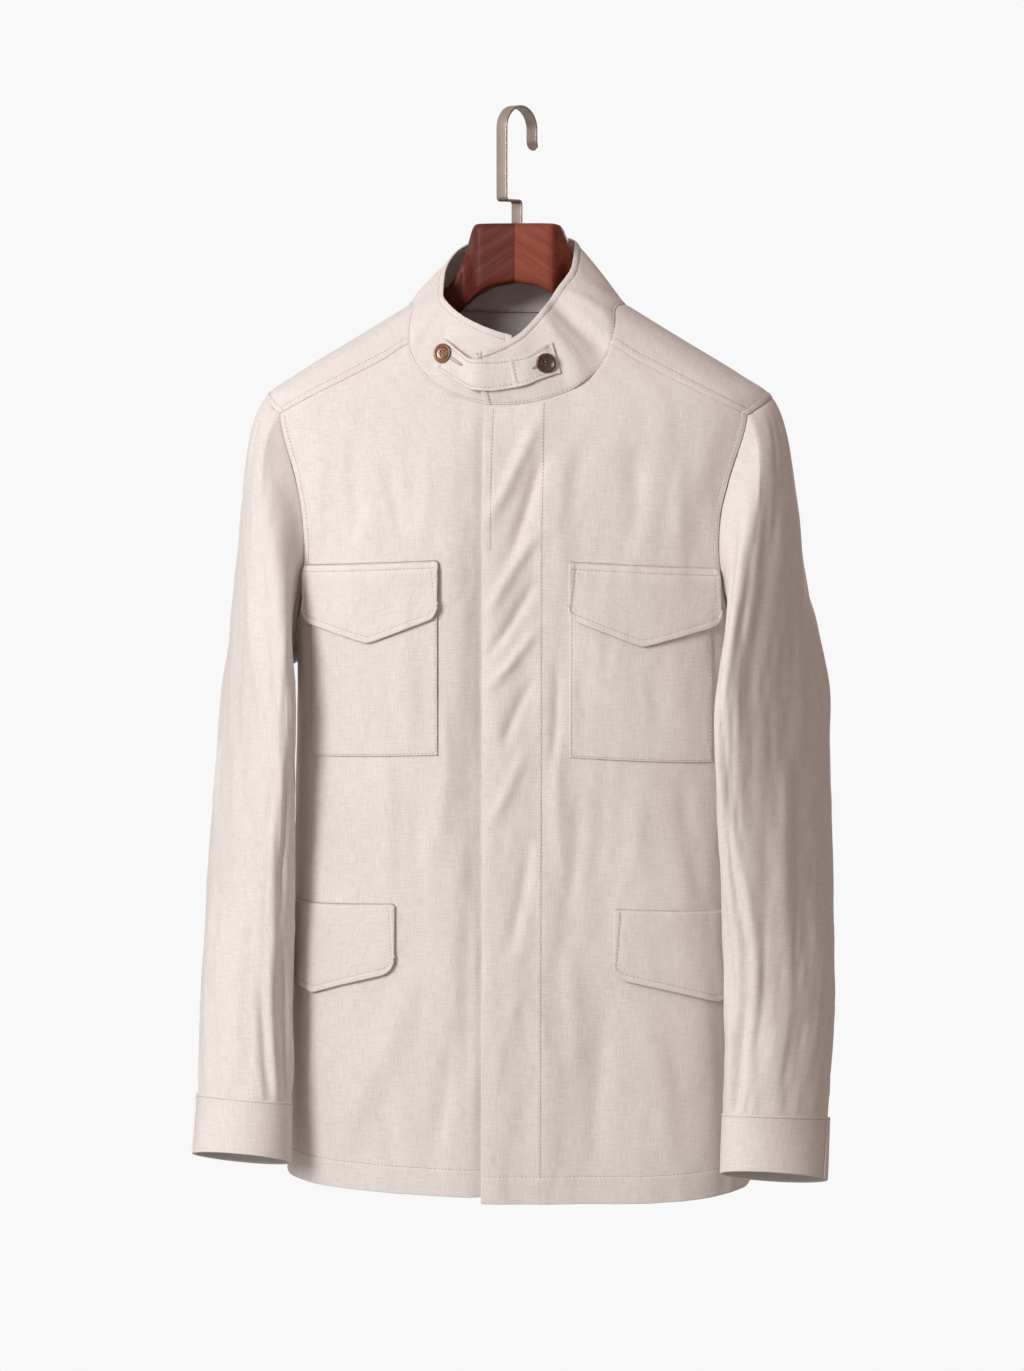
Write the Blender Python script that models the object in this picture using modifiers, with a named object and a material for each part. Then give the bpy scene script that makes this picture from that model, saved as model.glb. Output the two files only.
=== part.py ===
"""Field jacket of plain linen, buttoned at the chin tab, on a contoured wooden hanger.

The frame: the origin is the top of the hook's inner curve, where a rail carries it. X runs to the
wearer's left, the jacket's front faces -Y, and Z is up, so the garment hangs at negative heights.

The jacket is one hollow form, cut along its seams into the pieces that a maker would sew. A point
of the body is named by its height and by its angle round the body, 0 at the centre front, 90 at
the side and 180 at the centre back. Each cloth piece is a grid of such points with a wall put
behind it, and neighbouring pieces share their seam's points and its mitre.
"""
import math

import bmesh
import bpy
import numpy as np
from mathutils import Matrix, Vector
from mathutils.bvhtree import BVHTree

# Driving sizes, in metres and degrees.
WALL = 0.0016                 # cloth, two layers where a piece is faced
SEAM_GAP = 0.00036            # between two pieces at a seam
SHARP_FOLD = 0.2              # cosine between two pieces' directions, past which they share no mitre
LAP_LIFT = 0.0024             # the wearer's left front and collar end ride over the right ones
LAY_GAP = 0.0006              # between a pocket or flap and the front under it
FLAP_GAP = 0.0010             # between a chest flap and its pocket

HEM = -0.964
HEM_SIDE_RISE = 0.005         # the hem is a little shorter at the sides
UNDERARM = -0.495
SHOULDER_TIP = -0.255
NECK_SIDE = -0.173
NECK_FRONT_DROP = 0.088
NECK_BACK_DROP = 0.005
YOKE_FRONT_NECK_X = 0.0835    # the forward yoke seam starts here at the collar
YOKE_FRONT_ARM = (0.2085, -0.2695)
YOKE_BACK = -0.330
YOKE_BACK_ANGLE = 122.0
SIDE_ANGLE = 98.0             # the side seam lies a little behind the side
ARMHOLE_SCOOP = 9.0

PLACKET_EDGE = -0.018         # the left front's edge, past the centre
UNDERLAP_EDGE = 0.016
PLACKET_FOLD = 0.034          # inside this the left front stands out by the lap's lift
PLACKET_END = 0.058           # and here it has come down to the common surface

# Rings round the body: height, half width, depth of the front, depth of the back.
BODY = (
    (-0.964, 0.213, 0.093, 0.080),
    (-0.650, 0.203, 0.089, 0.076),
    (-0.500, 0.200, 0.088, 0.078),
    (-0.400, 0.206, 0.086, 0.080),
    (-0.330, 0.220, 0.081, 0.079),
    (-0.275, 0.232, 0.074, 0.075),
    (-0.255, 0.2275, 0.070, 0.072),
    (-0.235, 0.200, 0.064, 0.068),
    (-0.205, 0.150, 0.055, 0.062),
    (-0.173, 0.097, 0.042, 0.052),
    (-0.150, 0.060, 0.030, 0.040),
)
SQUARENESS = 0.05             # how far the rings fill out towards the corners

# Long soft folds of the body: angle at the top and at the hem, top, bottom, half width in
# degrees, depth (a trough is negative). Positive angles are on the wearer's left.
BODY_FOLDS = (
    (44.0, 52.0, -0.520, -0.990, 9.0, 0.0030),
    (-40.0, -50.0, -0.520, -0.990, 10.0, 0.0026),
    (26.0, 21.0, -0.590, -0.990, 7.0, -0.0022),
    (-22.0, -18.0, -0.560, -0.990, 8.0, -0.0024),
    (150.0, 156.0, -0.360, -0.990, 9.0, -0.0040),
    (-148.0, -158.0, -0.380, -0.990, 10.0, -0.0045),
    (176.0, 172.0, -0.420, -0.990, 8.0, 0.0030),
    (118.0, 124.0, -0.520, -0.990, 9.0, -0.0035),
    (-120.0, -122.0, -0.500, -0.990, 9.0, -0.0030),
)

# Sections of a sleeve below its head: height, centre to the side, centre towards the back,
# half of its long width, half of its short width, turn of the long width, twist of the seams.
SLEEVE = (
    (-0.938, 0.2390, -0.079, 0.050, 0.0385, 50.0, 36.0),
    (-0.889, 0.2395, -0.065, 0.053, 0.0370, 44.0, 34.0),
    (-0.791, 0.2414, -0.046, 0.060, 0.0365, 38.0, 24.0),
    (-0.695, 0.2392, -0.035, 0.070, 0.0310, 35.0, 12.0),
    (-0.596, 0.2352, -0.031, 0.078, 0.0250, 33.0, 4.0),
    (-0.527, 0.2320, -0.030, 0.081, 0.0220, 31.0, 0.0),
)
CUFF_SEAM = -0.889
SLEEVE_HEAD_END = -0.527
BODY_CLEARANCE = 0.0035       # a sleeve rests this far off the body's side

# The collar's top edge, by the angle round the neck from the under end at the centre front:
# angle, x, y, z. It runs round the wearer's right, the back and the left to the rounded tip.
COLLAR_EDGE = (
    (-16.0, 0.0060, -0.0610, -0.2010),
    (0.0, -0.0080, -0.0620, -0.1970),
    (25.0, -0.0290, -0.0575, -0.1890),
    (45.0, -0.0490, -0.0460, -0.1775),
    (65.0, -0.0620, -0.0280, -0.1630),
    (90.0, -0.0635, -0.0020, -0.1420),
    (110.0, -0.0560, 0.0210, -0.1240),
    (140.0, -0.0370, 0.0410, -0.1135),
    (180.0, 0.0000, 0.0490, -0.1120),
    (220.0, 0.0355, 0.0420, -0.1125),
    (250.0, 0.0490, 0.0230, -0.1180),
    (270.0, 0.0500, -0.0040, -0.1370),
    (295.0, 0.0390, -0.0300, -0.1600),
    (315.0, 0.0270, -0.0490, -0.1800),
    (335.0, 0.0105, -0.0650, -0.1990),
    (360.0, -0.0085, -0.0730, -0.2100),
    (375.0, -0.0260, -0.0775, -0.2165),
)
NECK_CENTRE_Y = -0.006
COLLAR_BULGE = 0.004

# A chest pocket and its flap, for the wearer's left, mirrored for the right.
CHEST_INNER, CHEST_OUTER = 0.0585, 0.1790
CHEST_TILT = 0.056            # the pockets hang lower at their outer ends, by this slope
CHEST_TOP, CHEST_BOTTOM = -0.3985, -0.5675
CHEST_FLAP_INNER, CHEST_FLAP_OUTER = 0.0575, 0.1840
CHEST_FLAP_TOP, CHEST_FLAP_SIDE, CHEST_FLAP_POINT = -0.3975, -0.4455, -0.4672

# A lower flap, by angle: inner end, point, outer end; and its heights there.
LOWER_FLAP_INNER, LOWER_FLAP_POINT, LOWER_FLAP_OUTER = 27.5, 58.8, 96.0
LOWER_FLAP_TOP = (-0.7030, -0.7080, -0.7110)
LOWER_FLAP_BOTTOM = (-0.7630, -0.7890, -0.7660)

# The chin tab, from its left end in the view to its right end: x, upper edge, lower edge.
CHIN_TAB = (
    (-0.0645, -0.2000, -0.2290),
    (-0.0545, -0.2040, -0.2340),
    (-0.0420, -0.2130, -0.2410),
    (-0.0270, -0.2210, -0.2475),
    (-0.0120, -0.2215, -0.2485),
    (0.0010, -0.2205, -0.2470),
    (0.0170, -0.2180, -0.2440),
    (0.0300, -0.2110, -0.2390),
    (0.0430, -0.2050, -0.2345),
    (0.0500, -0.2040, -0.2330),
)
TAB_JOIN_X = 0.0030
BUTTON_RADIUS, BUTTON_HEIGHT = 0.0086, 0.0028
TAB_BUTTONS = {"button_right": (-0.0560, -0.2155), "button_left": (0.0350, -0.2240)}

# Sections of one hanger arm from the joint outwards:
# x, top, bottom, front, back, boxiness (2 is an ellipse).
ARM = (
    (0.0000, -0.1015, -0.1555, -0.017, 0.016, 7.0),
    (0.0200, -0.1015, -0.1580, -0.017, 0.016, 7.0),
    (0.0340, -0.1018, -0.1640, -0.017, 0.016, 7.0),
    (0.0385, -0.1032, -0.1670, -0.010, 0.017, 6.0),
    (0.0425, -0.1110, -0.1700, 0.000, 0.019, 5.0),
    (0.0480, -0.1290, -0.1745, 0.005, 0.022, 4.0),
    (0.0600, -0.1530, -0.1850, 0.003, 0.023, 3.2),
    (0.0800, -0.1690, -0.1985, -0.004, 0.022, 2.8),
    (0.1100, -0.1870, -0.2160, -0.012, 0.020, 2.6),
    (0.1500, -0.2110, -0.2400, -0.020, 0.018, 2.5),
    (0.1900, -0.2350, -0.2650, -0.024, 0.018, 2.4),
    (0.2100, -0.2510, -0.2750, -0.021, 0.014, 2.3),
    (0.2170, -0.2590, -0.2690, -0.012, 0.006, 2.2),
)
HOOK_RADIUS = 0.0185          # inside, for a rail of 35 mm
STRAP_THICKNESS, STRAP_WIDTH = 0.0020, 0.0120
HOOK_TURN = 35.0              # the hook is swivelled to face the rail

COLLECTION = "field_jacket_on_hanger"
CLOTH_COLOUR = (0.745, 0.690, 0.645, 1.0)
BUTTON_COLOURS = {"button_right": (0.19, 0.085, 0.035, 1.0), "button_left": (0.085, 0.045, 0.028, 1.0)}
WOOD_COLOUR = (0.20, 0.038, 0.025, 1.0)
METAL_COLOUR = (0.44, 0.37, 0.33, 1.0)


def along(table, at):
    """Values of a table's columns at the stations `at`, on a smooth curve that never overshoots."""
    rows = np.array(sorted(table), float)
    x, y = rows[:, 0], rows[:, 1:]
    rise = np.diff(y, axis=0) / np.diff(x)[:, None]
    slope = np.empty_like(y)
    product = rise[1:] * rise[:-1]
    total = np.where(product > 0, rise[1:] + rise[:-1], 1.0)
    slope[1:-1] = np.where(product > 0, 2 * product / total, 0.0)
    slope[0], slope[-1] = rise[0], rise[-1]
    at = np.asarray(at, float)
    k = np.clip(np.searchsorted(x, at) - 1, 0, len(x) - 2)
    span = x[k + 1] - x[k]
    t = np.clip((at - x[k]) / span, 0.0, 1.0)[..., None]
    span = span[..., None]
    value = (
        (1 + 2 * t) * (1 - t) ** 2 * y[k]
        + t * (1 - t) ** 2 * span * slope[k]
        + t**2 * (3 - 2 * t) * y[k + 1]
        - t**2 * (1 - t) * span * slope[k + 1]
    )
    return np.moveaxis(value, -1, 0)


def smoothstep(low, high, value):
    """0 below low, 1 above high, and a smooth rise between them."""
    t = np.clip((value - low) / (high - low), 0.0, 1.0)
    return t * t * (3 - 2 * t)


def unit(vectors):
    """Vectors of length 1 along the last axis."""
    return vectors / np.linalg.norm(vectors, axis=-1, keepdims=True)


def fold_height(angle, z):
    """Sum of the body's long folds at a point, each a bell across its line that fades at its ends."""
    wrapped = (np.asarray(angle, float) + 180.0) % 360.0 - 180.0
    total = np.zeros(np.broadcast(wrapped, z).shape)
    for top_angle, low_angle, top, bottom, width, depth in BODY_FOLDS:
        down = np.clip((top - z) / (top - bottom), 0.0, 1.0)
        away = wrapped - (top_angle + (low_angle - top_angle) * down)
        away = (away + 180.0) % 360.0 - 180.0
        total = total + depth * smoothstep(0.0, 0.45, down) * np.exp(-((away / width) ** 2))
    return total


def body(angle, z):
    """Point of the body: an ellipse of the ring at that height, filled out at its corners."""
    angle, z = np.broadcast_arrays(np.asarray(angle, float), np.asarray(z, float))
    width, front, back = along(BODY, z)
    turn = np.radians(angle)
    fill = 1 + SQUARENESS * np.sin(2 * turn) ** 2
    depth = np.where(np.cos(turn) > 0, front, back)
    fold = fold_height(angle, z)
    x = width * np.sin(turn) * fill + fold * np.sin(turn)
    y = -depth * np.cos(turn) * fill - fold * np.cos(turn)
    return np.stack([x, y, z], axis=-1)


def body_normal(angle, z):
    """Outward direction of the body's surface, from short steps round it and up it."""
    step_angle, step_z = 0.5, 0.001
    round_it = body(angle + step_angle, z) - body(angle - step_angle, z)
    up_it = body(angle, z + step_z) - body(angle, z - step_z)
    return unit(np.cross(round_it, up_it))


def angle_at(x, z):
    """Angle, between the centre front and the side, where the body's front reaches x."""
    width = along(BODY, z)[0]
    angle = np.zeros(np.broadcast(x, z).shape)
    for _ in range(12):
        fill = 1 + SQUARENESS * np.sin(2 * angle) ** 2
        angle = np.arcsin(np.clip(x / (width * fill), -0.999, 0.999))
    return np.degrees(angle)


def neckline(angle):
    """Height of the neck seam: deepest at the front, highest at the side, a little lower behind."""
    turn = np.cos(np.radians(angle))
    return (
        NECK_SIDE
        - NECK_FRONT_DROP * np.clip(turn, 0, None) ** 5
        - NECK_BACK_DROP * np.clip(-turn, 0, None) ** 2
    )


# Places on the body where seams meet, as an angle and a height.
YOKE_NECK_ANGLE = 34.1
YOKE_NECK = (YOKE_NECK_ANGLE, float(neckline(YOKE_NECK_ANGLE)))
YOKE_ARM = (float(angle_at(*YOKE_FRONT_ARM)), YOKE_FRONT_ARM[1])

# Columns of a front as fractions from the centre to the side; the first run ends at the yoke.
NECK_COLUMNS = np.array([0.0, 0.05, 0.1, 0.155, 0.22, 0.30])
YOKE_COLUMNS = np.linspace(0.30, 1.0, 7)
BACK_COLUMNS = np.linspace(0.0, 1.0, 7)
BODY_ROWS = np.linspace(0.0, 1.0, 8)          # hem to underarm
FRONT_ARM_TURNS = np.radians(np.linspace(0, 90, 7))
BACK_ARM_TURNS = np.radians(np.linspace(0, 90, 6))
TIP_STEPS = np.linspace(0.0, 1.0, 4)          # from the tip of the shoulder to a yoke corner


def hem_height(angle):
    """Height of the hem, which rises a little to the sides."""
    return HEM + HEM_SIDE_RISE * np.sin(np.radians(angle)) ** 2


def front_top(column):
    """Top edge of a front by column: the neckline, then the straight forward yoke seam."""
    start = NECK_COLUMNS[-1]
    neck_angle = YOKE_NECK[0] * np.minimum(column, start) / start
    run = np.clip((column - start) / (1 - start), 0, 1)
    z = YOKE_NECK[1] + (YOKE_ARM[1] - YOKE_NECK[1]) * run
    x = YOKE_FRONT_NECK_X + (YOKE_FRONT_ARM[0] - YOKE_FRONT_NECK_X) * run
    on_neck = column <= start
    angle = np.where(on_neck, neck_angle, angle_at(x, z))
    angle = np.where(np.isclose(column, 1.0), YOKE_ARM[0], angle)
    return angle, np.where(on_neck, neckline(neck_angle), z)


def front_armhole(turn):
    """Angle of the armhole seam on a front; turn is 0 at the underarm and a quarter at the yoke."""
    rise = (SIDE_ANGLE - YOKE_ARM[0]) * np.sin(turn)
    scoop = ARMHOLE_SCOOP * np.sin(2 * turn) * np.sin(turn)
    return SIDE_ANGLE - rise - scoop


def front_grid(column):
    """Angles and heights of a front: rows from the hem up, then up beside the armhole."""
    low_angle = SIDE_ANGLE * column
    hem = hem_height(low_angle)
    low = [(low_angle, hem + (UNDERARM - hem) * row) for row in BODY_ROWS]
    top_angle, top_z = front_top(column)
    high = []
    for turn in FRONT_ARM_TURNS[1:]:
        rise = 1 - math.cos(turn)
        edge = front_armhole(turn) - ((1 - rise) * SIDE_ANGLE + rise * YOKE_ARM[0])
        angle = (1 - rise) * low_angle + rise * top_angle + column * edge
        high.append((angle, UNDERARM + (top_z - UNDERARM) * rise))
    return tuple(np.array(part) for part in zip(*(low + high)))


def placket_lift(x):
    """How far the wearer's left front stands out over the right one."""
    return LAP_LIFT * (1 - smoothstep(PLACKET_FOLD, PLACKET_END, x))


def front_left():
    """The wearer's left front, whose edge passes the centre and lies over the right front."""
    column = np.concatenate([NECK_COLUMNS, YOKE_COLUMNS[1:]])
    angle, z = front_grid(column)
    edge = angle_at(np.array([PLACKET_EDGE, PLACKET_EDGE / 2]), z[:, :1])
    angle = np.hstack([edge, angle])
    z = np.hstack([z[:, :1], z[:, :1], z])
    points = body(angle, z)
    return points + body_normal(angle, z) * placket_lift(points[..., :1])


def front_right():
    """The wearer's right front, with its underlap past the centre."""
    column = np.concatenate([NECK_COLUMNS, YOKE_COLUMNS[1:]])
    angle, z = front_grid(column)
    lap = angle_at(np.array([UNDERLAP_EDGE, UNDERLAP_EDGE / 2]), z[:, :1])
    angle = np.hstack([lap, -angle])
    z = np.hstack([z[:, :1], z[:, :1], z])
    return body(angle, z)[:, ::-1]


def back():
    """The back, from side seam to side seam, up to the straight back yoke seam."""
    half = np.concatenate([-BACK_COLUMNS[:0:-1], BACK_COLUMNS])
    side, corner = 180 - SIDE_ANGLE, 180 - YOKE_BACK_ANGLE
    hem = hem_height(180 + side * half)
    rows = [(180 + side * half, hem + (UNDERARM - hem) * row) for row in BODY_ROWS]
    for turn in BACK_ARM_TURNS[1:]:
        rise = 1 - math.cos(turn)
        edge = side - (side - corner) * math.sin(turn) - ((1 - rise) * side + rise * corner)
        away = (1 - rise) * side * half + rise * corner * half + half * edge
        rows.append((180 + away, np.full_like(half, UNDERARM + (YOKE_BACK - UNDERARM) * rise)))
    angle, z = (np.array(part) for part in zip(*rows))
    return body(angle, z)


def shoulder_edge(angle):
    """Height of the armhole seam across the top of the shoulder."""
    ahead = (90 - angle) / (90 - YOKE_ARM[0])
    behind = (angle - 90) / (YOKE_BACK_ANGLE - 90)
    drop = np.where(
        angle < 90,
        (SHOULDER_TIP - YOKE_ARM[1]) * np.clip(ahead, 0, 1) ** 2,
        (SHOULDER_TIP - YOKE_BACK) * np.clip(behind, 0, 1) ** 2,
    )
    return SHOULDER_TIP - drop


def yoke():
    """The yoke: rows fan round the neck from one forward seam over the back to the other."""
    across = (YOKE_COLUMNS - YOKE_COLUMNS[0]) / (1 - YOKE_COLUMNS[0])
    ahead = YOKE_ARM[0] + (90 - YOKE_ARM[0]) * TIP_STEPS
    behind = 90 + (YOKE_BACK_ANGLE - 90) * TIP_STEPS[1:]
    across_back = np.linspace(YOKE_BACK_ANGLE, 180, len(BACK_COLUMNS))[1:]
    outer_angle = np.concatenate([ahead, behind, across_back])
    outer_z = np.concatenate([
        shoulder_edge(ahead), shoulder_edge(behind), np.full(len(across_back), YOKE_BACK),
    ])
    share = np.concatenate([
        np.linspace(0, 0.36, len(TIP_STEPS)), np.linspace(0.36, 0.62, len(TIP_STEPS))[1:],
        np.linspace(0.62, 1, len(BACK_COLUMNS))[1:],
    ])
    inner_angle = YOKE_NECK[0] + (180 - YOKE_NECK[0]) * share
    inner_z = neckline(inner_angle)
    angle = inner_angle[:, None] + (outer_angle - inner_angle)[:, None] * across
    z = inner_z[:, None] + (outer_z - inner_z)[:, None] * across
    angle[0], z[0] = front_top(YOKE_COLUMNS)
    angle = np.vstack([angle, 360 - angle[-2::-1]])
    z = np.vstack([z, z[-2::-1]])
    return body(angle, z)


def armhole_loop():
    """The wearer's left armhole: tip, yoke, front, underarm, back, and up to the tip again."""
    ahead = 90 + (YOKE_ARM[0] - 90) * TIP_STEPS
    front_turns = FRONT_ARM_TURNS[-2::-1]
    back_turns = BACK_ARM_TURNS[1:]
    behind = YOKE_BACK_ANGLE + (90 - YOKE_BACK_ANGLE) * TIP_STEPS[1:-1]
    back_angle = SIDE_ANGLE + (YOKE_BACK_ANGLE - SIDE_ANGLE) * np.sin(back_turns)
    angle = np.concatenate([ahead, front_armhole(front_turns), back_angle, behind])
    z = np.concatenate([
        shoulder_edge(ahead),
        UNDERARM + (YOKE_ARM[1] - UNDERARM) * (1 - np.cos(front_turns)),
        UNDERARM + (YOKE_BACK - UNDERARM) * (1 - np.cos(back_turns)),
        shoulder_edge(behind),
    ])
    return body(angle, z)


# Turn of each armhole point on the sleeve's sections: 0 outside, 90 in front, 180 at the body.
SLEEVE_TURNS = np.concatenate([
    np.linspace(0, 50, len(TIP_STEPS)),
    np.linspace(50, 180, len(FRONT_ARM_TURNS))[1:],
    np.linspace(180, 300, len(BACK_ARM_TURNS))[1:],
    np.linspace(300, 360, len(TIP_STEPS))[1:-1],
])
FOREARM_SEAM, HIND_SEAM = 6, 13               # indices in SLEEVE_TURNS
SLEEVE_STATIONS = np.array([-0.527, -0.600, -0.665, -0.725, -0.780, -0.835, CUFF_SEAM])
CUFF_STATIONS = np.array([CUFF_SEAM, -0.914, -0.938])
HEAD_STEPS = np.linspace(0, 1, 6)
HEAD_FULLNESS = 0.5           # how far the sleeve's head swells before it hangs


def sleeve_ring(z, turns):
    """An ellipse across the sleeve's centre line at each height, turned and twisted by the table."""
    z = np.asarray(z, float)[:, None]
    side, ahead, long_half, short_half, turn, twist = along(SLEEVE, z)
    step = 0.004
    near = np.clip(z, SLEEVE[0][0] + step, SLEEVE[-1][0] - step)
    rise = along(SLEEVE, near + step) - along(SLEEVE, near - step)
    axis = unit(np.stack([rise[0], rise[1], np.full_like(z, 2 * step)], axis=-1))
    turn = np.radians(turn)
    forward = np.stack([-np.sin(turn), -np.cos(turn), np.zeros_like(turn)], axis=-1)
    forward = unit(forward - np.sum(forward * axis, -1, keepdims=True) * axis)
    outward = np.cross(forward, axis)
    outward = outward * np.sign(outward[..., :1])
    at = np.radians(turns[None, :] + twist)
    centre = np.stack([side, ahead, z], axis=-1)
    return (
        centre
        + (long_half * np.sin(at))[..., None] * forward
        + (short_half * np.cos(at))[..., None] * outward
    )


def clear_of_body(points):
    """Sleeve points moved out sideways until they clear the body's side."""
    width, front, back_depth = along(BODY, points[..., 2])
    depth = np.where(points[..., 1] < 0, front, back_depth)
    share = np.clip(1 - (points[..., 1] / depth) ** 2, 0, 1)
    limit = (width * (1 + 0.03 * share) + BODY_CLEARANCE) * np.sqrt(share)
    below = np.clip((UNDERARM - points[..., 2]) / 0.008, 0, 1)
    moved = points.copy()
    moved[..., 0] += below * np.clip(limit - points[..., 0], 0, None)
    return moved


def sleeve_head(loop, ring, step_down):
    """Smooth rows from the armhole to the first ring: each point leaves the seam and turns down."""
    turn = np.radians(SLEEVE_TURNS)
    reach = np.linalg.norm(ring - loop, axis=-1, keepdims=True)
    out = np.stack([0.6 + 0.1 * np.cos(turn), -0.45 * np.sin(turn), -0.42 - 0.38 * np.cos(turn)], -1)
    start, end = unit(out) * reach * HEAD_FULLNESS, unit(step_down) * reach
    t = HEAD_STEPS[:, None, None]
    return (
        (1 + 2 * t) * (1 - t) ** 2 * loop
        + t * (1 - t) ** 2 * start
        + t**2 * (3 - 2 * t) * ring
        - t**2 * (1 - t) * end
    )


def sleeve_grids():
    """The wearer's left sleeve and cuff as closed rings of points: rows down, columns round."""
    loop = armhole_loop()
    tube = clear_of_body(sleeve_ring(SLEEVE_STATIONS, SLEEVE_TURNS))
    ahead = clear_of_body(sleeve_ring(SLEEVE_STATIONS[:1] - 0.002, SLEEVE_TURNS))
    head = sleeve_head(loop, tube[0], ahead[0] - tube[0])
    rings = np.concatenate([loop[None], clear_of_body(head[1:]), tube[1:]])
    return rings, sleeve_ring(CUFF_STATIONS, SLEEVE_TURNS)


def ring_part(rings, first, last):
    """Columns of a closed ring from one index round to another."""
    count = rings.shape[1]
    return rings[:, np.arange(first, last + 1) % count]


def mirrored(grid):
    """The same grid on the other side of the body, its columns reversed to keep its outside out."""
    return (grid * np.array([-1.0, 1.0, 1.0]))[:, ::-1]


def collar(base, edge_angle):
    """The collar: straight rows from the neck seam to its top edge, with a slight bulge."""
    top = np.moveaxis(along(COLLAR_EDGE, edge_angle), 0, -1)
    t = np.linspace(0, 1, 5)[:, None, None]
    centre = np.array([0.0, NECK_CENTRE_Y, 0.0])
    out = (base + top) / 2 - centre
    out[:, 2] = 0
    bulge = COLLAR_BULGE * 4 * t * (1 - t) * unit(out)
    return base + (top - base) * t + bulge


def own_normals(grid):
    """Outward normals of one piece's grid, each the sum of the faces round its point."""
    normal = np.zeros_like(grid)
    across, up = grid[:, 1:] - grid[:, :-1], grid[1:] - grid[:-1]
    for rows, columns in ((0, 0), (0, 1), (1, 0), (1, 1)):
        face = np.cross(across[rows:rows + len(up)], up[:, columns:columns + across.shape[1]])
        normal[rows:rows + len(up), columns:columns + across.shape[1]] += face
    return unit(normal)


def shared_normals(panels):
    """Outward normals of every piece, averaged at the seams with the pieces that carry on there.

    A piece that folds sharply away, as a sleeve does from the side of the body, is left out.
    """
    own = {name: own_normals(grid) for name, grid in panels.items()}
    keys = {
        name: [tuple(key) for key in np.round(grid.reshape(-1, 3) * 1e5).astype(int)]
        for name, grid in panels.items()
    }
    meeting = {}
    for name, normal in own.items():
        for key, value in zip(keys[name], normal.reshape(-1, 3)):
            meeting.setdefault(key, []).append(value)
    shared = {}
    for name, normal in own.items():
        rows = []
        for key, value in zip(keys[name], normal.reshape(-1, 3)):
            rows.append(sum(other for other in meeting[key] if other @ value > SHARP_FOLD))
        shared[name] = unit(np.array(rows)).reshape(normal.shape)
    return shared


def drawn_in(grid, amount):
    """The grid with its outer rows and columns moved in along the surface, to open the seams."""
    moved = grid.copy()
    moved[0] += amount * unit(grid[1] - grid[0])
    moved[-1] += amount * unit(grid[-2] - grid[-1])
    moved[:, 0] += amount * unit(grid[:, 1] - grid[:, 0])
    moved[:, -1] += amount * unit(grid[:, -2] - grid[:, -1])
    return moved


def material(name, colour, roughness, metallic=0.0):
    """A plain Principled material."""
    made = bpy.data.materials.new(name)
    made.use_nodes = True
    shader = made.node_tree.nodes["Principled BSDF"]
    shader.inputs["Base Color"].default_value = colour
    shader.inputs["Roughness"].default_value = roughness
    shader.inputs["Metallic"].default_value = metallic
    return made


def add_object(name, mesh, finish, collection):
    """An object for a mesh, with its material, in the given collection."""
    made = bpy.data.objects.new(name, mesh)
    if not mesh.materials:
        mesh.materials.append(finish)
    collection.objects.link(made)
    return made


def wall_mesh(name, outer, inner):
    """A closed wall between two grids of the same shape, its four edges faced.

    An edge's faces are split from the lower outer corner, so that two pieces match along a seam.
    """
    rows, columns = outer.shape[:2]
    index = np.arange(rows * columns).reshape(rows, columns)
    far = index + rows * columns
    faces = []

    def quads(a, b, c, d):
        for corner in zip(a.ravel(), b.ravel(), c.ravel(), d.ravel()):
            faces.append((corner[0], corner[1], corner[2]))
            faces.append((corner[0], corner[2], corner[3]))

    quads(index[:-1, :-1], index[:-1, 1:], index[1:, 1:], index[1:, :-1])
    quads(far[:-1, :-1], far[1:, :-1], far[1:, 1:], far[:-1, 1:])
    height = np.round(outer[..., 2].ravel(), 4)
    for start, end in (
        (index[0, :-1], index[0, 1:]), (index[-1, 1:], index[-1, :-1]),
        (index[1:, 0], index[:-1, 0]), (index[:-1, -1], index[1:, -1]),
    ):
        for one, two in zip(start.ravel(), end.ravel()):
            one_in, two_in = one + rows * columns, two + rows * columns
            if height[one] < height[two]:
                faces += [(one, one_in, two_in), (one, two_in, two)]
            else:
                faces += [(one, one_in, two), (two, one_in, two_in)]
    mesh = bpy.data.meshes.new(name)
    points = np.concatenate([outer.reshape(-1, 3), inner.reshape(-1, 3)])
    mesh.from_pydata(points.tolist(), [], faces)
    work = bmesh.new()
    work.from_mesh(mesh)
    bmesh.ops.recalc_face_normals(work, faces=work.faces)
    work.to_mesh(mesh)
    work.free()
    mesh.shade_smooth()
    mesh.set_sharp_from_angle(angle=math.radians(50))
    return mesh


def seamed_panels():
    """Every panel of the shell: its grid, cut from one form so that seams share their points."""
    left, right = front_left(), front_right()
    rings, cuff_rings = sleeve_grids()
    top_sleeve = ring_part(rings, HIND_SEAM, len(SLEEVE_TURNS) + FOREARM_SEAM)
    under_sleeve = ring_part(rings, FOREARM_SEAM, HIND_SEAM)
    cuff = ring_part(cuff_rings, HIND_SEAM, HIND_SEAM + len(SLEEVE_TURNS))
    yoke_grid = yoke()
    neck = len(NECK_COLUMNS) + 2
    base = np.concatenate([
        right[-1, ::-1][:neck], yoke_grid[-2::-1, 0], left[-1, :neck][::-1][1:],
    ])
    angle = np.degrees(np.arctan2(-base[:, 0], -(base[:, 1] - NECK_CENTRE_Y)))
    angle = np.unwrap(angle, period=360)
    panels = {
        "front_left": left,
        "front_right": right,
        "back": back(),
        "yoke": yoke_grid,
        "collar": collar(base, angle)[:, ::-1],
    }
    for side, turned in (("left", lambda grid: grid), ("right", mirrored)):
        panels[f"sleeve_top_{side}"] = turned(top_sleeve)
        panels[f"sleeve_under_{side}"] = turned(under_sleeve)
        panels[f"cuff_{side}"] = turned(cuff)
    return panels


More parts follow.
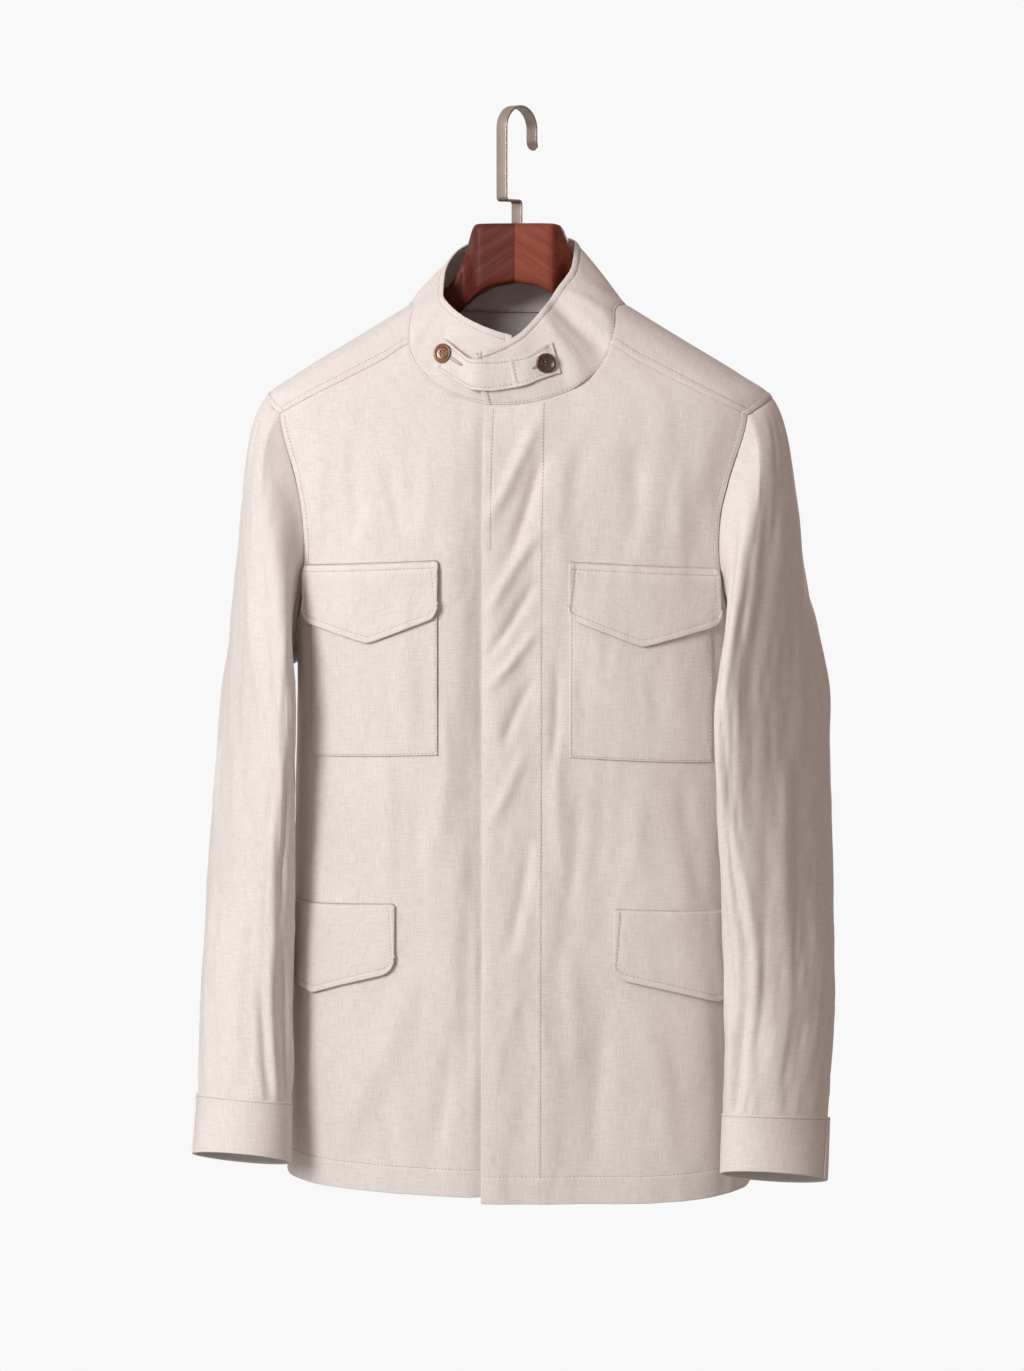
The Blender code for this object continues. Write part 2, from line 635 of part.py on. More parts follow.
def laid_piece(points, normals, lift, wall=WALL):
    """Inner and outer grids of a piece laid on a surface, `lift` above it."""
    inner = points + normals * lift
    return inner + normals * wall, inner


def on_front(side, x, z):
    """Points and normals of a front at x and z, on the wearer's left (1) or right (-1)."""
    angle = side * angle_at(x, z)
    return body(angle, z), body_normal(angle, z)


def chest_pocket(side):
    """A patch pocket: a plain rectangle that hangs a little lower at its outer end."""
    across, up = np.meshgrid(np.linspace(0, 1, 10), np.linspace(0, 1, 7))
    x = CHEST_INNER + (CHEST_OUTER - CHEST_INNER) * across
    z = CHEST_BOTTOM + (CHEST_TOP - 0.008 - CHEST_BOTTOM) * up - CHEST_TILT * (x - CHEST_INNER)
    points, normals = on_front(side, x, z)
    return laid_piece(points, normals, LAY_GAP)


def chest_flap(side):
    """A pointed flap, sewn down along its top edge and lying over the pocket below it."""
    across, down = np.meshgrid(np.linspace(0, 1, 11), np.array([0.0, 0.14, 0.55, 1.0]))
    x = CHEST_FLAP_INNER + (CHEST_FLAP_OUTER - CHEST_FLAP_INNER) * across
    point = 1 - np.abs(2 * across - 1)
    low = CHEST_FLAP_SIDE + (CHEST_FLAP_POINT - CHEST_FLAP_SIDE) * point
    z = CHEST_FLAP_TOP + (low - CHEST_FLAP_TOP) * down - CHEST_TILT * (x - CHEST_FLAP_INNER)
    points, normals = on_front(side, x, z)
    over_pocket = smoothstep(0.0, 0.14, down)[..., None]
    return laid_piece(points, normals, LAY_GAP + (WALL + FLAP_GAP) * over_pocket)


def lower_flap(side):
    """A wide pointed flap that runs round towards the side seam, on the front's own columns."""
    panel = SIDE_ANGLE * YOKE_COLUMNS
    inside = panel[(panel > LOWER_FLAP_INNER) & (panel < LOWER_FLAP_OUTER)]
    ends = (LOWER_FLAP_INNER, LOWER_FLAP_POINT, LOWER_FLAP_OUTER)
    angle = np.union1d(inside, ends)
    top, bottom = np.interp(angle, ends, LOWER_FLAP_TOP), np.interp(angle, ends, LOWER_FLAP_BOTTOM)
    down = np.linspace(0, 1, 4)[:, None]
    z = top + (bottom - top) * down
    angle = side * np.broadcast_to(angle, z.shape)
    return laid_piece(body(angle, z), body_normal(angle, z), LAY_GAP)


def grid_normals(grid):
    """Outward normals of one grid, from its own rows and columns; its outside faces -Y."""
    normal = unit(np.cross(np.gradient(grid, axis=1), np.gradient(grid, axis=0)))
    return normal * -np.sign(normal[..., 1:2])


def tab_strip(start, end, tree):
    """A stretch of the chin tab, drawn taut over whatever lies under it."""
    x = np.linspace(start, end, 2 + int((end - start) / 0.006))
    upper, lower = along(CHIN_TAB, x)
    rows = np.linspace(0, 1, 4)[:, None]
    z = lower + (upper - lower) * rows
    x = np.broadcast_to(x, z.shape)
    depth = np.empty_like(z)
    for place in np.ndindex(z.shape):
        near = [
            tree.ray_cast(Vector((x[place] + right, -0.3, z[place] + up)), Vector((0, 1, 0)))[0]
            for right in (-0.003, 0, 0.003) for up in (-0.003, 0, 0.003)
        ]
        depth[place] = min(hit.y for hit in near if hit)
    for _ in range(40):
        depth[:, 1:-1] = np.minimum(depth[:, 1:-1], (depth[:, :-2] + depth[:, 2:]) / 2)
        depth[1:-1] = np.minimum(depth[1:-1], (depth[:-2] + depth[2:]) / 2)
    points = np.stack([x, depth, z], axis=-1)
    return points


def build_tab(tree, finish, collection):
    """The chin tab in its two sewn lengths, with one wall drawn over both; gives its outer points."""
    start, end = CHIN_TAB[0][0], CHIN_TAB[-1][0]
    whole = tab_strip(start, end, tree)
    normals = grid_normals(whole)
    outer, inner = laid_piece(whole, normals, 0.0010, 0.0015)
    column = int(np.argmin(np.abs(whole[0, :, 0] - TAB_JOIN_X)))
    for name, part in (("chin_tab", slice(0, column + 1)), ("chin_tab_end", slice(column, None))):
        mesh = wall_mesh(name, drawn_in(outer[:, part], SEAM_GAP / 2), drawn_in(inner[:, part], SEAM_GAP / 2))
        add_object(name, mesh, finish, collection)
    return outer, normals


def build_button(name, place, outer, normals, finish, collection):
    """A turned button with a raised rim, standing on the tab at x and z."""
    away = np.hypot(outer[..., 0] - place[0], outer[..., 2] - place[1])
    nearest = np.unravel_index(np.argmin(away), away.shape)
    normal = normals[nearest]
    offset = np.array([place[0] - outer[nearest][0], 0.0, place[1] - outer[nearest][2]])
    offset[1] = -(offset[0] * normal[0] + offset[2] * normal[2]) / normal[1]
    radius, height = BUTTON_RADIUS, BUTTON_HEIGHT
    profile = (
        (0.0, height * 0.62), (radius * 0.62, height * 0.62), (radius * 0.74, height),
        (radius * 0.92, height * 0.95), (radius, height * 0.6), (radius * 0.9, 0.0), (0.0, 0.0),
    )
    mesh = bpy.data.meshes.new(name)
    mesh.from_pydata([(x, 0.0, z) for x, z in profile], [(k, k + 1) for k in range(len(profile) - 1)], [])
    made = add_object(name, mesh, finish, collection)
    turn = made.modifiers.new("turned", "SCREW")
    turn.steps = turn.render_steps = 20
    turn.use_merge_vertices = True
    turn.merge_threshold = 0.00005
    up = Vector(normal)
    made.rotation_mode = "QUATERNION"
    made.rotation_quaternion = up.to_track_quat("Z", "Y")
    made.location = Vector(outer[nearest] + offset) + up * 0.0007


def build_arm(name, side, finish, collection):
    """One arm of the hanger: boxy sections at the neck that round off towards the tip."""
    count = 20
    turn = np.radians(np.arange(count) * 360 / count)
    rings = []
    for x, top, bottom, front, rear, boxy in ARM:
        power = 2 / boxy
        across = np.sign(np.cos(turn)) * np.abs(np.cos(turn)) ** power
        up = np.sign(np.sin(turn)) * np.abs(np.sin(turn)) ** power
        y = (front + rear) / 2 + (rear - front) / 2 * across
        z = (top + bottom) / 2 + (top - bottom) / 2 * up
        rings.append(np.stack([np.full(count, side * max(x, SEAM_GAP / 2)), y, z], axis=-1))
    rings = np.array(rings)
    index = np.arange(rings.shape[0] * count).reshape(-1, count)
    after = np.roll(index, -1, axis=1)
    sides = np.stack([index[:-1], after[:-1], after[1:], index[1:]], axis=-1).reshape(-1, 4)
    faces = sides.tolist() + [index[0].tolist(), index[-1].tolist()]
    mesh = bpy.data.meshes.new(name)
    mesh.from_pydata(rings.reshape(-1, 3).tolist(), [], faces)
    work = bmesh.new()
    work.from_mesh(mesh)
    bmesh.ops.recalc_face_normals(work, faces=work.faces)
    work.to_mesh(mesh)
    work.free()
    mesh.shade_smooth()
    mesh.set_sharp_from_angle(angle=math.radians(35))
    add_object(name, mesh, finish, collection)


def strap_path():
    """Centre line of the hook's strap from its foot: up, a step forward, up, over and down."""
    bend = 0.003
    radius = HOOK_RADIUS + STRAP_THICKNESS / 2
    foot = ARM[0][1] + SEAM_GAP
    place, heading = np.array([0.0, foot]), 90.0
    points = [place.copy()]
    first_rise = 0.0165
    second_rise = -HOOK_RADIUS - (foot + first_rise + 2 * bend)
    moves = (
        (first_rise, 0, 0), (0, bend, 90), (radius - 2 * bend, 0, 0), (0, bend, -90),
        (second_rise, 0, 0), (0, radius, -180), (0.009, 0, 0), (0, 0.012, 25), (0.004, 0, 0),
    )
    for length, arc, turn in moves:
        steps = max(1, round(abs(turn) / 15))
        for _ in range(steps):
            share = math.radians(turn / steps)
            chord = length if not turn else 2 * arc * math.sin(abs(share) / 2)
            along_it = math.radians(heading) + share / 2
            place = place + chord * np.array([math.cos(along_it), math.sin(along_it)])
            heading += turn / steps
            points.append(place.copy())
    return np.array(points)


def build_hook(finish, collection):
    """The flat strap hook: its side outline as a filled curve, given the strap's width."""
    path = strap_path()
    tangent = unit(np.gradient(path, axis=0))
    normal = np.stack([-tangent[:, 1], tangent[:, 0]], axis=-1) * STRAP_THICKNESS / 2
    outline = np.concatenate([path + normal, (path - normal)[::-1]])
    curve = bpy.data.curves.new("hook", "CURVE")
    curve.dimensions = "2D"
    curve.fill_mode = "BOTH"
    curve.extrude = STRAP_WIDTH / 2
    spline = curve.splines.new("POLY")
    spline.points.add(len(outline) - 1)
    for point, (ahead, z) in zip(spline.points, outline):
        point.co = (ahead, z, 0.0, 1.0)
    spline.use_cyclic_u = True
    curve.materials.append(finish)
    made = bpy.data.objects.new("hook", curve)
    collection.objects.link(made)
    backward = Vector((math.sin(math.radians(HOOK_TURN)), math.cos(math.radians(HOOK_TURN)), 0.0))
    up = Vector((0.0, 0.0, 1.0))
    across = backward.cross(up)
    made.matrix_world = Matrix((backward, up, across)).transposed().to_4x4()


def build_cloth(finish, collection):
    """The sewn shell and what lies on it; gives a tree of the collar and the fronts."""
    panels = seamed_panels()
    normals = shared_normals(panels)
    corners, faces = [], []
    for name, grid in panels.items():
        inner = grid - normals[name] * WALL
        mesh = wall_mesh(name, drawn_in(grid, SEAM_GAP / 2), drawn_in(inner, SEAM_GAP / 2))
        add_object(name, mesh, finish, collection)
        if name in ("collar", "front_left", "front_right"):
            faces += [[v + len(corners) for v in face.vertices] for face in mesh.polygons]
            corners += [vertex.co.copy() for vertex in mesh.vertices]
    laid = {"chest_pocket": chest_pocket, "chest_flap": chest_flap, "lower_flap": lower_flap}
    for word, side in (("left", 1), ("right", -1)):
        for name, shape in laid.items():
            outer, inner = shape(side)
            add_object(f"{name}_{word}", wall_mesh(f"{name}_{word}", outer, inner), finish, collection)
    return BVHTree.FromPolygons(corners, faces)


def main():
    for old in list(bpy.data.objects):
        bpy.data.objects.remove(old)
    collection = bpy.data.collections.new(COLLECTION)
    bpy.context.scene.collection.children.link(collection)
    linen = material("linen", CLOTH_COLOUR, 0.9)
    wood = material("mahogany", WOOD_COLOUR, 0.35)
    metal = material("satin_nickel", METAL_COLOUR, 0.38, 1.0)
    tree = build_cloth(linen, collection)
    outer, normals = build_tab(tree, linen, collection)
    for name, place in TAB_BUTTONS.items():
        horn = material(name, BUTTON_COLOURS[name], 0.4)
        build_button(name, place, outer, normals, horn, collection)
    build_arm("hanger_arm_left", 1, wood, collection)
    build_arm("hanger_arm_right", -1, wood, collection)
    build_hook(metal, collection)


main()
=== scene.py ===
"""Field jacket of plain linen on a contoured wooden hanger: cloth, sewing, finishes and studio.

Every cloth piece is a grid of points worked out on the jacket's form, raised and lowered by its
folds and seams, and given a wall with a rounded rim. The tables hold the jacket's sizes in metres
and degrees: X to the wearer's left, the front faces -Y, Z up, and the origin is the top of the
inside of the hook.
"""
import math

import bmesh
import bpy
import numpy as np
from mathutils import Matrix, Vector


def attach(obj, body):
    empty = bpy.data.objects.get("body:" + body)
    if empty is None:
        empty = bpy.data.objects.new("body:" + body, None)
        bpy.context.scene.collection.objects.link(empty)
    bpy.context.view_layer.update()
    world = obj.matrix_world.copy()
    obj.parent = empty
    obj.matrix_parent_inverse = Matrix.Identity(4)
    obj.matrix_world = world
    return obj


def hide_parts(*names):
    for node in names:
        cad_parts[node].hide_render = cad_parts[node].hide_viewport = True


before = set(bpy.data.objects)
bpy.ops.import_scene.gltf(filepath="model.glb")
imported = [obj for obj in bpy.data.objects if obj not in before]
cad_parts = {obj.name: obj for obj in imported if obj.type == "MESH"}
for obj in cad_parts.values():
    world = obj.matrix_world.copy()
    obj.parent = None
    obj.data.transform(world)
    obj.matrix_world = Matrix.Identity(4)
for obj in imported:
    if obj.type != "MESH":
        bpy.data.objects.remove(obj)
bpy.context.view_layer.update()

# ------------------------------------------------------------------ the jacket's form
WALL = 0.0013                 # one panel of cloth with its seams pressed
BAND_WALL = 0.0018            # collar, cuffs and flaps, of two layers
SEAM_GAP = 0.00024            # between the hanger's two arms
SEAM_ROUND = 0.00045          # how far an edge rounds off into a seam
ALLOWANCE = 0.0016            # how far the inner layer of a seamed edge reaches under its neighbour
ALLOWANCE_SINK = 0.0003       # how much deeper it lies there
LAP_LIFT = 0.0024             # how far the placket lies over the front behind it
LAY_GAP = 0.0005              # air under a piece laid on the body

HEM, HEM_SIDE_RISE = -0.964, 0.001
UNDERARM, SHOULDER_TIP = -0.495, -0.255
NECK_SIDE, NECK_FRONT_DROP, NECK_BACK_DROP = -0.173, 0.088, 0.005
YOKE_FRONT_NECK_X = 0.0835
YOKE_FRONT_ARM = (0.2085, -0.2695)
YOKE_BACK, YOKE_BACK_ANGLE = -0.330, 122.0
SIDE_ANGLE, ARMHOLE_SCOOP = 98.0, 9.0
YOKE_NECK_ANGLE = 34.1
PLACKET_EDGE, UNDERLAP_EDGE = -0.018, 0.016
PLACKET_FOLD, PLACKET_END = 0.034, 0.058

# Rings round the body: height, half width, depth of the front, depth of the back.
BODY = (
    (-0.964, 0.213, 0.093, 0.080),
    (-0.650, 0.203, 0.089, 0.076),
    (-0.500, 0.200, 0.088, 0.078),
    (-0.400, 0.206, 0.086, 0.080),
    (-0.330, 0.220, 0.081, 0.079),
    (-0.275, 0.232, 0.074, 0.075),
    (-0.255, 0.2275, 0.070, 0.072),
    (-0.235, 0.200, 0.064, 0.068),
    (-0.205, 0.150, 0.055, 0.062),
    (-0.173, 0.097, 0.042, 0.052),
    (-0.150, 0.060, 0.030, 0.040),
)
SQUARENESS = 0.05

# Long soft folds: angle at the top, angle at the hem, top, bottom, half width in degrees, depth.
BODY_FOLDS = (
    (44.0, 52.0, -0.520, -0.990, 9.0, 0.0024),
    (-40.0, -50.0, -0.520, -0.990, 10.0, 0.0018),
    (26.0, 21.0, -0.590, -0.990, 7.0, -0.0022),
    (-22.0, -18.0, -0.560, -0.990, 8.0, -0.0018),
    (150.0, 156.0, -0.360, -0.990, 9.0, -0.0040),
    (-148.0, -158.0, -0.380, -0.990, 10.0, -0.0045),
    (176.0, 172.0, -0.420, -0.990, 8.0, 0.0030),
    (118.0, 124.0, -0.520, -0.990, 9.0, -0.0035),
    (-120.0, -122.0, -0.500, -0.990, 9.0, -0.0030),
)

# Creases, listed one by one: girth and height of one end, then of the other, half width, depth of
# the trough (a ridge is negative), and how far the line bows sideways.
CREASES = (
    # placket: slanting pulls below the collar, then short ones down to the waist
    (0.024, -0.275, -0.012, -0.365, 0.0060, -0.0016, 0.002),
    (0.030, -0.300, 0.006, -0.395, 0.0055, 0.0015, 0.002),
    (0.030, -0.370, -0.010, -0.440, 0.0060, -0.0013, -0.002),
    (0.026, -0.415, -0.012, -0.480, 0.0055, 0.0012, 0.002),
    (0.028, -0.455, -0.014, -0.510, 0.0060, -0.0012, 0.003),
    (0.026, -0.500, 0.000, -0.560, 0.0050, 0.0010, -0.002),
    (0.020, -0.560, -0.012, -0.630, 0.0060, -0.0009, 0.002),
    (0.024, -0.640, 0.006, -0.740, 0.0055, 0.0008, 0.002),
    (0.018, -0.760, -0.004, -0.860, 0.0065, -0.0005, -0.002),
    # wearer's left front, beside the placket's stitching
    (0.044, -0.300, 0.050, -0.430, 0.0100, -0.0012, 0.003),
    (0.062, -0.290, 0.054, -0.390, 0.0060, 0.0007, -0.003),
    (0.048, -0.480, 0.043, -0.580, 0.0045, 0.0008, 0.002),
    (0.050, -0.560, 0.057, -0.690, 0.0075, -0.0010, -0.004),
    (0.066, -0.600, 0.058, -0.700, 0.0040, 0.0009, 0.002),
    (0.088, -0.590, 0.076, -0.690, 0.0055, 0.0006, 0.004),
    (0.056, -0.740, 0.062, -0.850, 0.0085, -0.0012, 0.003),
    (0.092, -0.790, 0.080, -0.930, 0.0090, 0.0010, -0.004),
    (0.126, -0.800, 0.140, -0.950, 0.0100, -0.0010, 0.004),
    (0.098, -0.300, 0.112, -0.380, 0.0080, 0.0008, 0.003),
    (0.140, -0.310, 0.150, -0.385, 0.0070, -0.0007, -0.002),
    (0.176, -0.330, 0.206, -0.440, 0.0080, 0.0012, 0.005),
    (0.120, -0.590, 0.112, -0.680, 0.0070, -0.0006, 0.002),
    (0.160, -0.585, 0.172, -0.690, 0.0080, 0.0007, -0.003),
    # wearer's right front
    (-0.026, -0.320, -0.034, -0.900, 0.0110, 0.0014, 0.002),
    (-0.062, -0.290, -0.072, -0.390, 0.0070, -0.0007, 0.003),
    (-0.094, -0.300, -0.082, -0.390, 0.0065, 0.0008, -0.003),
    (-0.122, -0.295, -0.134, -0.385, 0.0080, 0.0007, 0.003),
    (-0.156, -0.300, -0.170, -0.390, 0.0070, -0.0007, 0.002),
    (-0.186, -0.340, -0.208, -0.450, 0.0080, 0.0012, -0.005),
    (-0.052, -0.520, -0.060, -0.660, 0.0080, -0.0009, 0.004),
    (-0.078, -0.590, -0.070, -0.700, 0.0055, 0.0006, -0.003),
    (-0.110, -0.585, -0.104, -0.690, 0.0080, -0.0006, 0.003),
    (-0.070, -0.740, -0.150, -0.930, 0.0150, -0.0010, 0.006),
    (-0.046, -0.800, -0.062, -0.940, 0.0085, 0.0010, 0.003),
    (-0.110, -0.850, -0.090, -0.955, 0.0075, 0.0008, -0.002),
    (-0.166, -0.600, -0.158, -0.700, 0.0080, 0.0007, 0.003),
    # sides, where the sleeve presses
    (0.262, -0.520, 0.250, -0.680, 0.0100, 0.0014, 0.004),
    (0.285, -0.560, 0.292, -0.760, 0.0110, -0.0012, -0.004),
    (-0.262, -0.530, -0.252, -0.690, 0.0100, 0.0014, -0.004),
    (-0.288, -0.560, -0.296, -0.780, 0.0110, -0.0012, 0.004),
    # back, below the yoke seam and at the waist
    (0.440, -0.345, 0.446, -0.520, 0.0090, -0.0016, 0.003),
    (0.412, -0.345, 0.408, -0.500, 0.0080, 0.0014, -0.003),
    (0.374, -0.350, 0.360, -0.480, 0.0090, -0.0013, 0.005),
    (0.342, -0.380, 0.322, -0.520, 0.0090, 0.0015, 0.004),
    (0.424, -0.560, 0.416, -0.760, 0.0110, -0.0012, 0.004),
    (0.388, -0.600, 0.398, -0.820, 0.0100, 0.0011, -0.005),
    (0.350, -0.640, 0.344, -0.900, 0.0120, -0.0013, 0.003),
    (-0.446, -0.350, -0.440, -0.540, 0.0090, 0.0015, -0.003),
    (-0.416, -0.345, -0.412, -0.470, 0.0080, -0.0014, 0.003),
    (-0.380, -0.350, -0.366, -0.500, 0.0090, 0.0013, -0.005),
    (-0.346, -0.375, -0.326, -0.500, 0.0085, -0.0012, -0.004),
    (-0.430, -0.600, -0.436, -0.830, 0.0110, -0.0013, 0.004),
    (-0.396, -0.560, -0.384, -0.780, 0.0100, 0.0012, 0.005),
    (-0.354, -0.660, -0.362, -0.930, 0.0120, -0.0011, -0.003),
)

# Sections of a sleeve below its head: height, centre to the side, centre towards the back,
# half of its long width, half of its short width, turn of the long width, twist of the seams.
SLEEVE = (
    (-0.938, 0.2390, -0.079, 0.050, 0.0385, 50.0, 36.0),
    (-0.889, 0.2395, -0.065, 0.053, 0.0370, 44.0, 34.0),
    (-0.791, 0.2414, -0.046, 0.060, 0.0365, 38.0, 24.0),
    (-0.695, 0.2392, -0.035, 0.070, 0.0310, 35.0, 12.0),
    (-0.596, 0.2352, -0.031, 0.078, 0.0250, 33.0, 4.0),
    (-0.527, 0.2320, -0.030, 0.081, 0.0220, 31.0, 0.0),
)
SLEEVE_HEAD_END, CUFF_SEAM, CUFF_END = -0.527, -0.889, -0.938
CUFF_OVER = 0.0030            # how far a cuff's edge lies over its sleeve
CUFF_LONG, CUFF_LAP = 0.30, 9.0               # a cuff's length, and the degrees by which it laps
CUFF_SAG = 0.07               # how much lower a cuff hangs behind than in front, for its depth
CUFF_TILT = {"left": 0.01, "right": 0.075}    # how steeply each cuff climbs outwards
HEAD_FULLNESS, BODY_CLEARANCE = 0.5, 0.0035
FOREARM_TURN, HIND_TURN = 115.0, 276.0        # where a sleeve's two seams run

# Creases of a sleeve: turn and height of one end, then of the other, half width in degrees,
# depth of the trough, bow in degrees. One table for each sleeve.
SLEEVE_CREASES = {
    "left": (
        (60.0, -0.330, 78.0, -0.520, 9.0, -0.0014, 4.0),
        (82.0, -0.340, 98.0, -0.500, 8.0, 0.0014, -4.0),
        (30.0, -0.330, 44.0, -0.560, 9.0, 0.0012, 5.0),
        (100.0, -0.520, 64.0, -0.660, 10.0, -0.0014, 4.0),
        (80.0, -0.600, 46.0, -0.740, 8.0, 0.0015, 5.0),
        (58.0, -0.660, 34.0, -0.800, 8.0, -0.0013, -4.0),
        (96.0, -0.680, 62.0, -0.800, 9.0, 0.0012, 4.0),
        (30.0, -0.700, 20.0, -0.860, 8.0, 0.0012, 3.0),
        (78.0, -0.770, 60.0, -0.880, 8.0, -0.0014, -3.0),
        (50.0, -0.780, 44.0, -0.885, 7.0, 0.0013, 2.0),
        (92.0, -0.800, 84.0, -0.885, 7.0, 0.0011, 2.0),
        (10.0, -0.560, 4.0, -0.760, 10.0, -0.0010, 5.0),
        (150.0, -0.600, 165.0, -0.800, 12.0, 0.0016, 4.0),
        (190.0, -0.540, 205.0, -0.700, 12.0, -0.0014, -5.0),
        (232.0, -0.560, 220.0, -0.740, 11.0, 0.0018, 5.0),
        (262.0, -0.480, 250.0, -0.680, 10.0, -0.0014, 4.0),
        (298.0, -0.330, 300.0, -0.560, 16.0, -0.0016, 2.0),
        (330.0, -0.600, 322.0, -0.780, 10.0, -0.0004, -4.0),
        (285.0, -0.700, 296.0, -0.870, 9.0, 0.0013, 3.0),
    ),
    "right": (
        (72.0, -0.340, 84.0, -0.500, 9.0, -0.0013, 4.0),
        (50.0, -0.350, 58.0, -0.560, 9.0, 0.0011, -4.0),
        (24.0, -0.400, 30.0, -0.640, 10.0, -0.0010, 4.0),
        (94.0, -0.560, 76.0, -0.720, 9.0, 0.0012, 3.0),
        (66.0, -0.620, 56.0, -0.800, 8.0, -0.0012, 4.0),
        (40.0, -0.640, 38.0, -0.790, 8.0, 0.0011, -3.0),
        (82.0, -0.730, 74.0, -0.885, 6.0, 0.0013, 2.0),
        (60.0, -0.740, 56.0, -0.885, 6.0, -0.0013, -2.0),
        (44.0, -0.760, 42.0, -0.880, 6.0, 0.0012, 2.0),
        (96.0, -0.760, 92.0, -0.885, 6.0, -0.0011, 2.0),
        (22.0, -0.720, 20.0, -0.870, 8.0, 0.0010, 3.0),
        (150.0, -0.580, 160.0, -0.780, 12.0, 0.0015, 4.0),
        (196.0, -0.560, 206.0, -0.720, 12.0, -0.0014, -5.0),
        (236.0, -0.540, 222.0, -0.740, 11.0, 0.0017, 5.0),
        (258.0, -0.500, 250.0, -0.660, 10.0, -0.0014, 4.0),
        (306.0, -0.290, 300.0, -0.440, 16.0, 0.0018, 0.0),
        (334.0, -0.580, 328.0, -0.760, 10.0, -0.0004, -4.0),
        (290.0, -0.680, 300.0, -0.860, 9.0, 0.0012, 3.0),
    ),
}

# The collar's top edge by the angle round the neck: angle, x, y, z.
COLLAR_EDGE = (
    (-16.0, 0.0060, -0.0610, -0.2010),
    (0.0, -0.0080, -0.0620, -0.1970),
    (25.0, -0.0290, -0.0575, -0.1890),
    (45.0, -0.0490, -0.0460, -0.1775),
    (65.0, -0.0620, -0.0280, -0.1630),
    (90.0, -0.0635, -0.0020, -0.1420),
    (110.0, -0.0560, 0.0210, -0.1240),
    (140.0, -0.0370, 0.0410, -0.1135),
    (180.0, 0.0000, 0.0490, -0.1120),
    (220.0, 0.0355, 0.0420, -0.1125),
    (250.0, 0.0490, 0.0230, -0.1180),
    (270.0, 0.0500, -0.0040, -0.1370),
    (295.0, 0.0390, -0.0300, -0.1600),
    (315.0, 0.0270, -0.0490, -0.1800),
    (335.0, 0.0105, -0.0650, -0.1990),
    (360.0, -0.0085, -0.0730, -0.2100),
    (375.0, -0.0260, -0.0775, -0.2165),
)
NECK_CENTRE_Y, COLLAR_BULGE = -0.006, 0.004

# Creases of the collar: distance from its outer end and share of its height, at both ends, then
# half width, depth and bow as above.
COLLAR_CREASES = (
    (0.092, -0.10, 0.078, 0.98, 0.0120, -0.0038, 0.0),
    (0.126, -0.05, 0.108, 1.02, 0.0130, 0.0060, 0.0),
    (0.158, 0.00, 0.142, 0.95, 0.0100, -0.0026, 0.002),
    (0.104, 0.15, 0.090, 0.90, 0.0040, 0.0008, -0.002),
    (0.137, 0.20, 0.124, 0.95, 0.0040, -0.0007, 0.002),
    (0.060, 0.20, 0.054, 0.85, 0.0060, 0.0007, 0.001),
    (0.200, 0.10, 0.190, 0.90, 0.0110, 0.0014, -0.003),
    (0.262, 0.05, 0.268, 0.90, 0.0120, -0.0014, 0.003),
    (0.330, 0.10, 0.322, 0.85, 0.0120, 0.0015, -0.003),
    (0.398, 0.05, 0.406, 0.90, 0.0110, -0.0013, 0.003),
    (0.470, 0.05, 0.482, 0.95, 0.0100, 0.0014, 0.002),
    (0.522, 0.00, 0.536, 0.95, 0.0090, -0.0016, -0.002),
    (0.556, 0.05, 0.566, 0.90, 0.0080, 0.0013, 0.002),
    (0.600, 0.15, 0.606, 0.85, 0.0060, -0.0007, -0.001),
)

CHEST_INNER, CHEST_OUTER, CHEST_TILT = 0.0585, 0.1790, 0.056
CHEST_TOP, CHEST_BOTTOM = -0.3985, -0.5675
CHEST_FLAP_INNER, CHEST_FLAP_OUTER = 0.0575, 0.1840
CHEST_FLAP_TOP, CHEST_FLAP_SIDE, CHEST_FLAP_POINT = -0.3975, -0.4455, -0.4672
# Inner end, point and outer end of a lower flap: angles, heights of its seam, of its free edge.
LOWER_FLAP_ANGLES = {1: (27.5, 58.8, 96.0), -1: (27.5, 54.0, 96.0)}
LOWER_FLAP_TOP = (-0.7030, -0.7080, -0.7110)
LOWER_FLAP_BOTTOM = (-0.7630, -0.7890, -0.7660)
LOWER_FLAP_WIDE, LOWER_FLAP_TALL = 0.205, 0.070

# The chin tab, from the wearer's right end to the left: x, upper edge, lower edge.
CHIN_TAB = (
    (-0.0645, -0.2000, -0.2290),
    (-0.0545, -0.2040, -0.2340),
    (-0.0420, -0.2130, -0.2410),
    (-0.0270, -0.2210, -0.2475),
    (-0.0120, -0.2215, -0.2485),
    (0.0010, -0.2205, -0.2470),
    (0.0170, -0.2180, -0.2440),
    (0.0300, -0.2110, -0.2390),
    (0.0430, -0.2050, -0.2345),
    (0.0500, -0.2040, -0.2330),
)
TAB_JOIN_X, TAB_WALL = 0.0030, 0.0015
BUTTON_RADIUS, BUTTON_HEIGHT = 0.0086, 0.0028
TAB_BUTTONS = {"button_right": (-0.0560, -0.2155), "button_left": (0.0350, -0.2240)}

